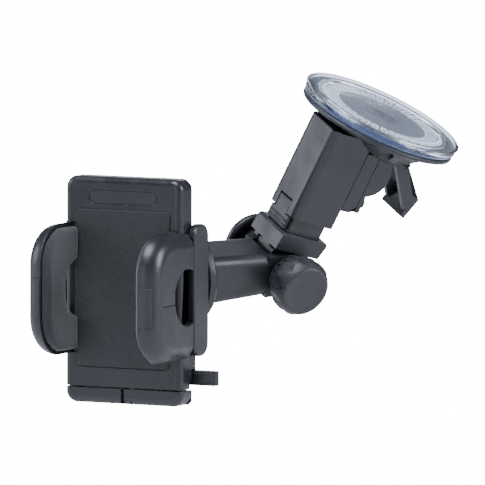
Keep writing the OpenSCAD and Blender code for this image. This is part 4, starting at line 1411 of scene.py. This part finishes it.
@dataclass
class Post(SubAssembly):
    """Outer sleeve, pivot caps, latch, inner tube and the collar at the elbow."""

    sleeve_edge: float = 0.6 * MM
    cap_edge: float = 0.5 * MM
    moulded_corner: float = 1.6 * MM
    full_corner: float = 4.4 * MM

    def build(self) -> None:
        """Softens the mouldings and refinishes the fasteners."""
        softened(
            "outer_sleeve", SATIN_BLACK, self.sleeve_edge, reshape=self.round_front
        )
        for node in ("sleeve_cap", "near_pivot_cap", "far_pivot_cap"):
            softened(node, SATIN_BLACK, self.cap_edge)
        softened("elbow_collar", SATIN_BLACK, 1.1 * MM)
        softened("inner_tube", CHARCOAL, 0.5 * MM)
        softened("telescope_latch", CHARCOAL, 0.25 * MM)
        refinish(STEEL, "pivot_pin", "latch_pin")
        refinish(BLACK_STEEL, "pivot_cap_screws", "collar_screw")

    def round_front(self, mesh: bpy.types.Mesh) -> None:
        """Gives the sleeve's two front corners their full round.

        Args:
            mesh: Mesh of the sleeve.
        """
        place = local_frame(
            (0.0, 0.0, 0.0),
            Vector(joint_of("base_pivot")["axis"]),
            -Vector(joint_of("post_slide")["axis"]),
        )
        back = place.inverted()
        cap = [back @ v.co for v in frame["nodes"]["sleeve_cap"].data.vertices]
        across = (min(p.x for p in cap) + max(p.x for p in cap)) / 2
        along = (min(p.y for p in cap) + max(p.y for p in cap)) / 2
        spots = [back @ v.co for v in mesh.vertices]
        half = along - min(p.y for p in spots)
        slack = 0.02 * MM
        old = half - self.moulded_corner
        new = half - self.full_corner
        for vertex, spot in zip(mesh.vertices, spots):
            x, y = abs(spot.x - across) - old, along - spot.y - old
            if min(x, y) < -slack or x > self.moulded_corner + slack:
                continue
            angle = math.atan2(max(y, 0.0), max(x, 0.0))
            side = math.copysign(1.0, spot.x - across)
            spot.x = across + side * (new + self.full_corner * math.cos(angle))
            spot.y = along - new - self.full_corner * math.sin(angle)
            vertex.co = place @ spot


@dataclass
class ElbowArm(SubAssembly):
    """Arm with its fork, the bolt, the far cap and the clamping knob."""

    arm_edge: float = 1.0 * MM
    knob_edge: float = 0.35 * MM

    def build(self) -> None:
        """Softens the mouldings and refinishes the metal."""
        softened("arm", SATIN_BLACK, self.arm_edge)
        softened("rear_cap", SATIN_BLACK, 0.5 * MM)
        softened("elbow_knob", CHARCOAL, self.knob_edge)
        refinish(GREY, "friction_washers")
        refinish(STEEL, "elbow_bolt")
        refinish(BRASS, "knob_insert")


@dataclass
class BallJoint(SubAssembly):
    """Lock ring, rubber seat, ball and the stud that carries the cradle."""

    ring_edge: float = 0.4 * MM

    def build(self) -> None:
        """Softens the ring and the seat and refinishes what turns inside."""
        softened("lock_ring", SATIN_BLACK, self.ring_edge)
        softened("ball_seat", SEAT_RUBBER, 0.3 * MM)
        refinish(SMOOTH_BLACK, "swivel_ball")
        refinish(STEEL, "ball_stud", "ball_screw", "stud_screws")


@dataclass
class Cradle(SubAssembly):
    """Front cover with its grip pad, the rear housing and the drive inside."""

    pad_edge: float = 0.5 * MM
    pad_corner: float = 2.8 * MM
    strip_size: tuple[float, float] = (35.4 * MM, 6.0 * MM)
    strip_sink: float = 0.4 * MM
    strip_drop: float = 9.6 * MM

    def build(self) -> None:
        """Softens the shells, makes pad and strip, refinishes the drive."""
        softened("front_cover", SMOOTH_BLACK, 0.5 * MM)
        softened("rear_housing", SATIN_BLACK, 0.5 * MM)
        softened("release_lever", SMOOTH_BLACK, 0.5 * MM)
        self.grip_pad()
        self.bare_strip()
        refinish(GREY, "pinion")
        refinish(CHARCOAL, "pawl")
        refinish(
            STEEL,
            "housing_screws",
            "pinion_pin",
            "jaw_spring",
            "pawl_pin",
            "pawl_spring",
        )

    def facing(self, x: float, y: float, z: float) -> Matrix:
        """Frame whose Z axis points forward, out of the cradle.

        Args:
            x: Place along X.
            y: Place along Y.
            z: Place along Z.

        Returns:
            The matrix from that frame to the row frame.
        """
        return local_frame((x, y, z), Vector((1, 0, 0)), Vector((0, -1, 0)))

    def grip_pad(self) -> None:
        """The pebbled pad, with a rolled rim."""
        low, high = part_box("grip_pad")
        width, height, thick = high.x - low.x, high.z - low.z, high.y - low.y
        edge = self.pad_edge
        layers = [(0.0, 0.0), (0.0, thick - edge)]
        layers += [
            (edge * (1 - math.cos(a)), thick - edge + edge * math.sin(a))
            for a in (math.pi / 8, math.pi / 4, 3 * math.pi / 8, math.pi / 2)
        ]
        place = self.facing((low.x + high.x) / 2, high.y, (low.z + high.z) / 2)
        piece = rimmed_plate(
            "grip_pad_skin", width, height, self.pad_corner, layers, place
        )
        dress(piece, GRIP_RUBBER, body_of("grip_pad"))
        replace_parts(piece, "grip_pad")

    def bare_strip(self) -> None:
        """A plain satin strip that fills the shallow recess above the pad."""
        pad_low, pad_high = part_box("grip_pad")
        cover_low, cover_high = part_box("front_cover")
        width, height = self.strip_size
        layers = [(0.0, 0.0), (0.0, 0.18 * MM), (0.12 * MM, 0.3 * MM)]
        place = self.facing(
            (pad_low.x + pad_high.x) / 2,
            cover_low.y + self.strip_sink,
            cover_high.z - self.strip_drop,
        )
        piece = rimmed_plate(
            "bare_strip", width, height, height / 2 - 0.1 * MM, layers, place
        )
        dress(piece, SHELL_BLACK, body_of("front_cover"))


@dataclass
class Jaw(SubAssembly):
    """One jaw: slide, shell, foam lining and front clip."""

    side: Side
    shell_edge: float = 0.5 * MM
    voxel: float = 0.8 * MM
    swell: float = 0.45 * MM
    start_in: float = 0.30 * MM

    def build(self) -> None:
        """Softens the mouldings and makes the foam lining."""
        word = self.side.word
        softened("jaw_slide_" + word, SHELL_BLACK, 0.4 * MM)
        softened("jaw_shell_" + word, SHELL_BLACK, self.shell_edge)
        softened("jaw_clip_" + word, CHARCOAL, 0.2 * MM)
        self.foam("jaw_pad_" + word)

    def foam(self, node: str) -> None:
        """Makes the crowned foam lining from the room its solid holds.

        Args:
            node: CAD node of the lining.
        """
        mesh = frame["nodes"][node].data.copy()
        piece = bpy.data.objects.new("foam_" + self.side.word, mesh)
        bpy.context.scene.collection.objects.link(piece)
        voxel_skin(piece, self.voxel)
        relax(piece, 3)
        shrink(piece, self.start_in)
        inflate(piece, 4.0, self.swell)
        relax(piece, 2)
        subdivide = piece.modifiers.new("even", "SUBSURF")
        subdivide.levels = subdivide.render_levels = 1
        applied(piece)
        smooth(piece, 60.0)
        dress(piece, FOAM_SKIN, body_of(node))
        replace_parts(piece, node)


@dataclass
class Feet(SubAssembly):
    """The two feet that swing out under the cradle."""

    edge: float = 0.5 * MM

    def build(self) -> None:
        """Softens the feet and refinishes their pins."""
        for side in Side:
            softened("foot_" + side.word, SMOOTH_BLACK, self.edge)
        refinish(STEEL, "foot_pins")


# ---------------------------------------------------------------- studio


# Colour of the lamps and of the air between them.
COOL_WHITE = (0.86, 0.90, 1.0)
PAPER_WHITE = (1.0, 1.0, 1.0)


@dataclass(frozen=True)
class SoftBox:
    """A square lamp that points at the part's middle."""

    title: str
    spot: tuple[float, float, float]
    size: float
    power: float

    def hang(self, middle: Vector) -> None:
        """Places the lamp.

        Args:
            middle: Point that the lamp looks at.
        """
        light = bpy.data.lights.new(self.title, "AREA")
        light.shape = "SQUARE"
        light.size = self.size
        light.energy = self.power
        light.color = COOL_WHITE
        lamp = bpy.data.objects.new(self.title, light)
        lamp.location = middle + Vector(self.spot)
        lamp.rotation_euler = (-Vector(self.spot)).to_track_quat("-Z", "Y").to_euler()
        bpy.context.scene.collection.objects.link(lamp)


@dataclass
class Studio:
    """Pale floor, soft boxes and the camera.

    Attributes:
        drop: Gap between the part's lowest point and the floor.
        floor_half: Half of the floor's width.
        floor_glow: Glow of floor and air where they are looked at directly.
        floor_through: Glow of the floor as seen through the clear cup.
        floor_mirrored: Glow of the floor in reflections.
        air: Strength of the even light from all round.
        distance: Distance of the camera.
        lens: Focal length in millimetres.
        bearing: Direction of the camera round the part, in degrees from X.
        climb: Its height above the horizon, in degrees.
        roll: Its turn about its own axis, in degrees.
        aim: Middle of the view, to the right of the grip pad's middle and above it.
        boxes: The lamps.
    """

    drop: float = 0.06
    floor_half: float = 14.0
    floor_glow: float = 18.0
    floor_through: float = 2.0
    floor_mirrored: float = 0.12
    air: float = 0.17
    distance: float = 5.4508
    lens: float = 860.8
    bearing: float = -63.266
    climb: float = 4.937
    roll: float = 0.169
    aim: tuple[float, float] = (56.594 * MM, 21.975 * MM)
    boxes: tuple[SoftBox, ...] = (
        SoftBox("top_box", (0.0, -0.6, 1.45), 1.0, 40.0),
        SoftBox("left_box", (-1.5, -0.6, 0.5), 0.8, 16.0),
        SoftBox("front_box", (-0.2, -2.0, 0.3), 0.9, 7.0),
        SoftBox("right_box", (1.7, 0.3, 0.7), 0.8, 36.0),
        SoftBox("rear_box", (-0.9, 1.8, 0.85), 0.9, 6.0),
    )

    def build(self) -> None:
        """Makes the surroundings and sets the scene's camera."""
        self.camera()
        self.floor()
        self.world()
        middle = (Vector(CAD_BOX[0]) + Vector(CAD_BOX[1])) / 2
        for box in self.boxes:
            box.hang(middle)

    def camera(self) -> None:
        """Puts a long lens in front of the cradle, to its right."""
        bearing, climb, roll = map(math.radians, (self.bearing, self.climb, self.roll))
        back = Vector(
            (
                math.cos(climb) * math.cos(bearing),
                math.cos(climb) * math.sin(bearing),
                math.sin(climb),
            )
        )
        level = Vector((-math.sin(bearing), math.cos(bearing), 0.0))
        right = level * math.cos(roll) + back.cross(level) * math.sin(roll)
        up = back.cross(right)
        low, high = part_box("grip_pad")
        start = Vector(((low.x + high.x) / 2, low.y, (low.z + high.z) / 2))
        lens = bpy.data.cameras.new("studio_camera")
        lens.sensor_width = 36.0
        lens.lens = self.lens
        lens.clip_start = 0.05
        lens.clip_end = 40.0
        camera = bpy.data.objects.new("studio_camera", lens)
        turn = Matrix((right, up, back)).transposed().to_4x4()
        spot = start + right * self.aim[0] + up * self.aim[1] + back * self.distance
        camera.matrix_world = Matrix.Translation(spot) @ turn
        bpy.context.scene.collection.objects.link(camera)
        bpy.context.scene.camera = camera

    def floor(self) -> None:
        """Lays a wide white floor that glows only where it is looked at."""
        level = CAD_BOX[0][2] - self.drop
        half = self.floor_half
        bm = bmesh.new()
        corners = ((-half, -half), (half, -half), (half, half), (-half, half))
        bm.faces.new([bm.verts.new((x, y, level)) for x, y in corners])
        piece = place_mesh("studio_floor", bm)
        material = bpy.data.materials.new("white_paper")
        material.use_nodes = True
        wiring = Wiring(material.node_tree)
        shader = material.node_tree.nodes["Principled BSDF"]
        shader.inputs["Base Color"].default_value = (0.8, 0.8, 0.8, 1.0)
        shader.inputs["Roughness"].default_value = 0.9
        shader.inputs["Emission Color"].default_value = (*PAPER_WHITE, 1.0)
        path = wiring.add("ShaderNodeLightPath")
        through = wiring.math(
            "MULTIPLY", path.outputs["Is Transmission Ray"], self.floor_through
        )
        mirrored = wiring.math(
            "MULTIPLY_ADD",
            path.outputs["Is Glossy Ray"],
            self.floor_mirrored,
            through,
        )
        glow = wiring.math(
            "MULTIPLY_ADD", path.outputs["Is Camera Ray"], self.floor_glow, mirrored
        )
        wiring.join(glow, shader.inputs["Emission Strength"])
        piece.data.materials.append(material)

    def world(self) -> None:
        """Even dim light from all round, seen as white behind the part."""
        world = bpy.data.worlds.new("studio_air")
        world.use_nodes = True
        shade = world.node_tree.nodes["Background"]
        wiring = Wiring(world.node_tree)
        seen = wiring.add("ShaderNodeLightPath").outputs["Is Camera Ray"]
        tint = wiring.blend_tone(seen, COOL_WHITE, PAPER_WHITE)
        wiring.join(tint, shade.inputs["Color"])
        strength = wiring.math(
            "MULTIPLY_ADD", seen, self.floor_glow - self.air, self.air
        )
        wiring.join(strength, shade.inputs["Strength"])
        bpy.context.scene.world = world


def main() -> None:
    """Builds every sub-assembly in order, then the studio round them."""
    logging.basicConfig(level=logging.INFO, format="%(name)s: %(message)s")
    parts: list[SubAssembly] = [
        SuctionBase(),
        Post(),
        ElbowArm(),
        BallJoint(),
        Cradle(),
        Jaw(Side.RIGHT),
        Jaw(Side.LEFT),
        Feet(),
    ]
    for part in parts:
        LOG.info("building %s", type(part).__name__)
        part.build()
    Studio().build()


if __name__ == "__main__":
    main()
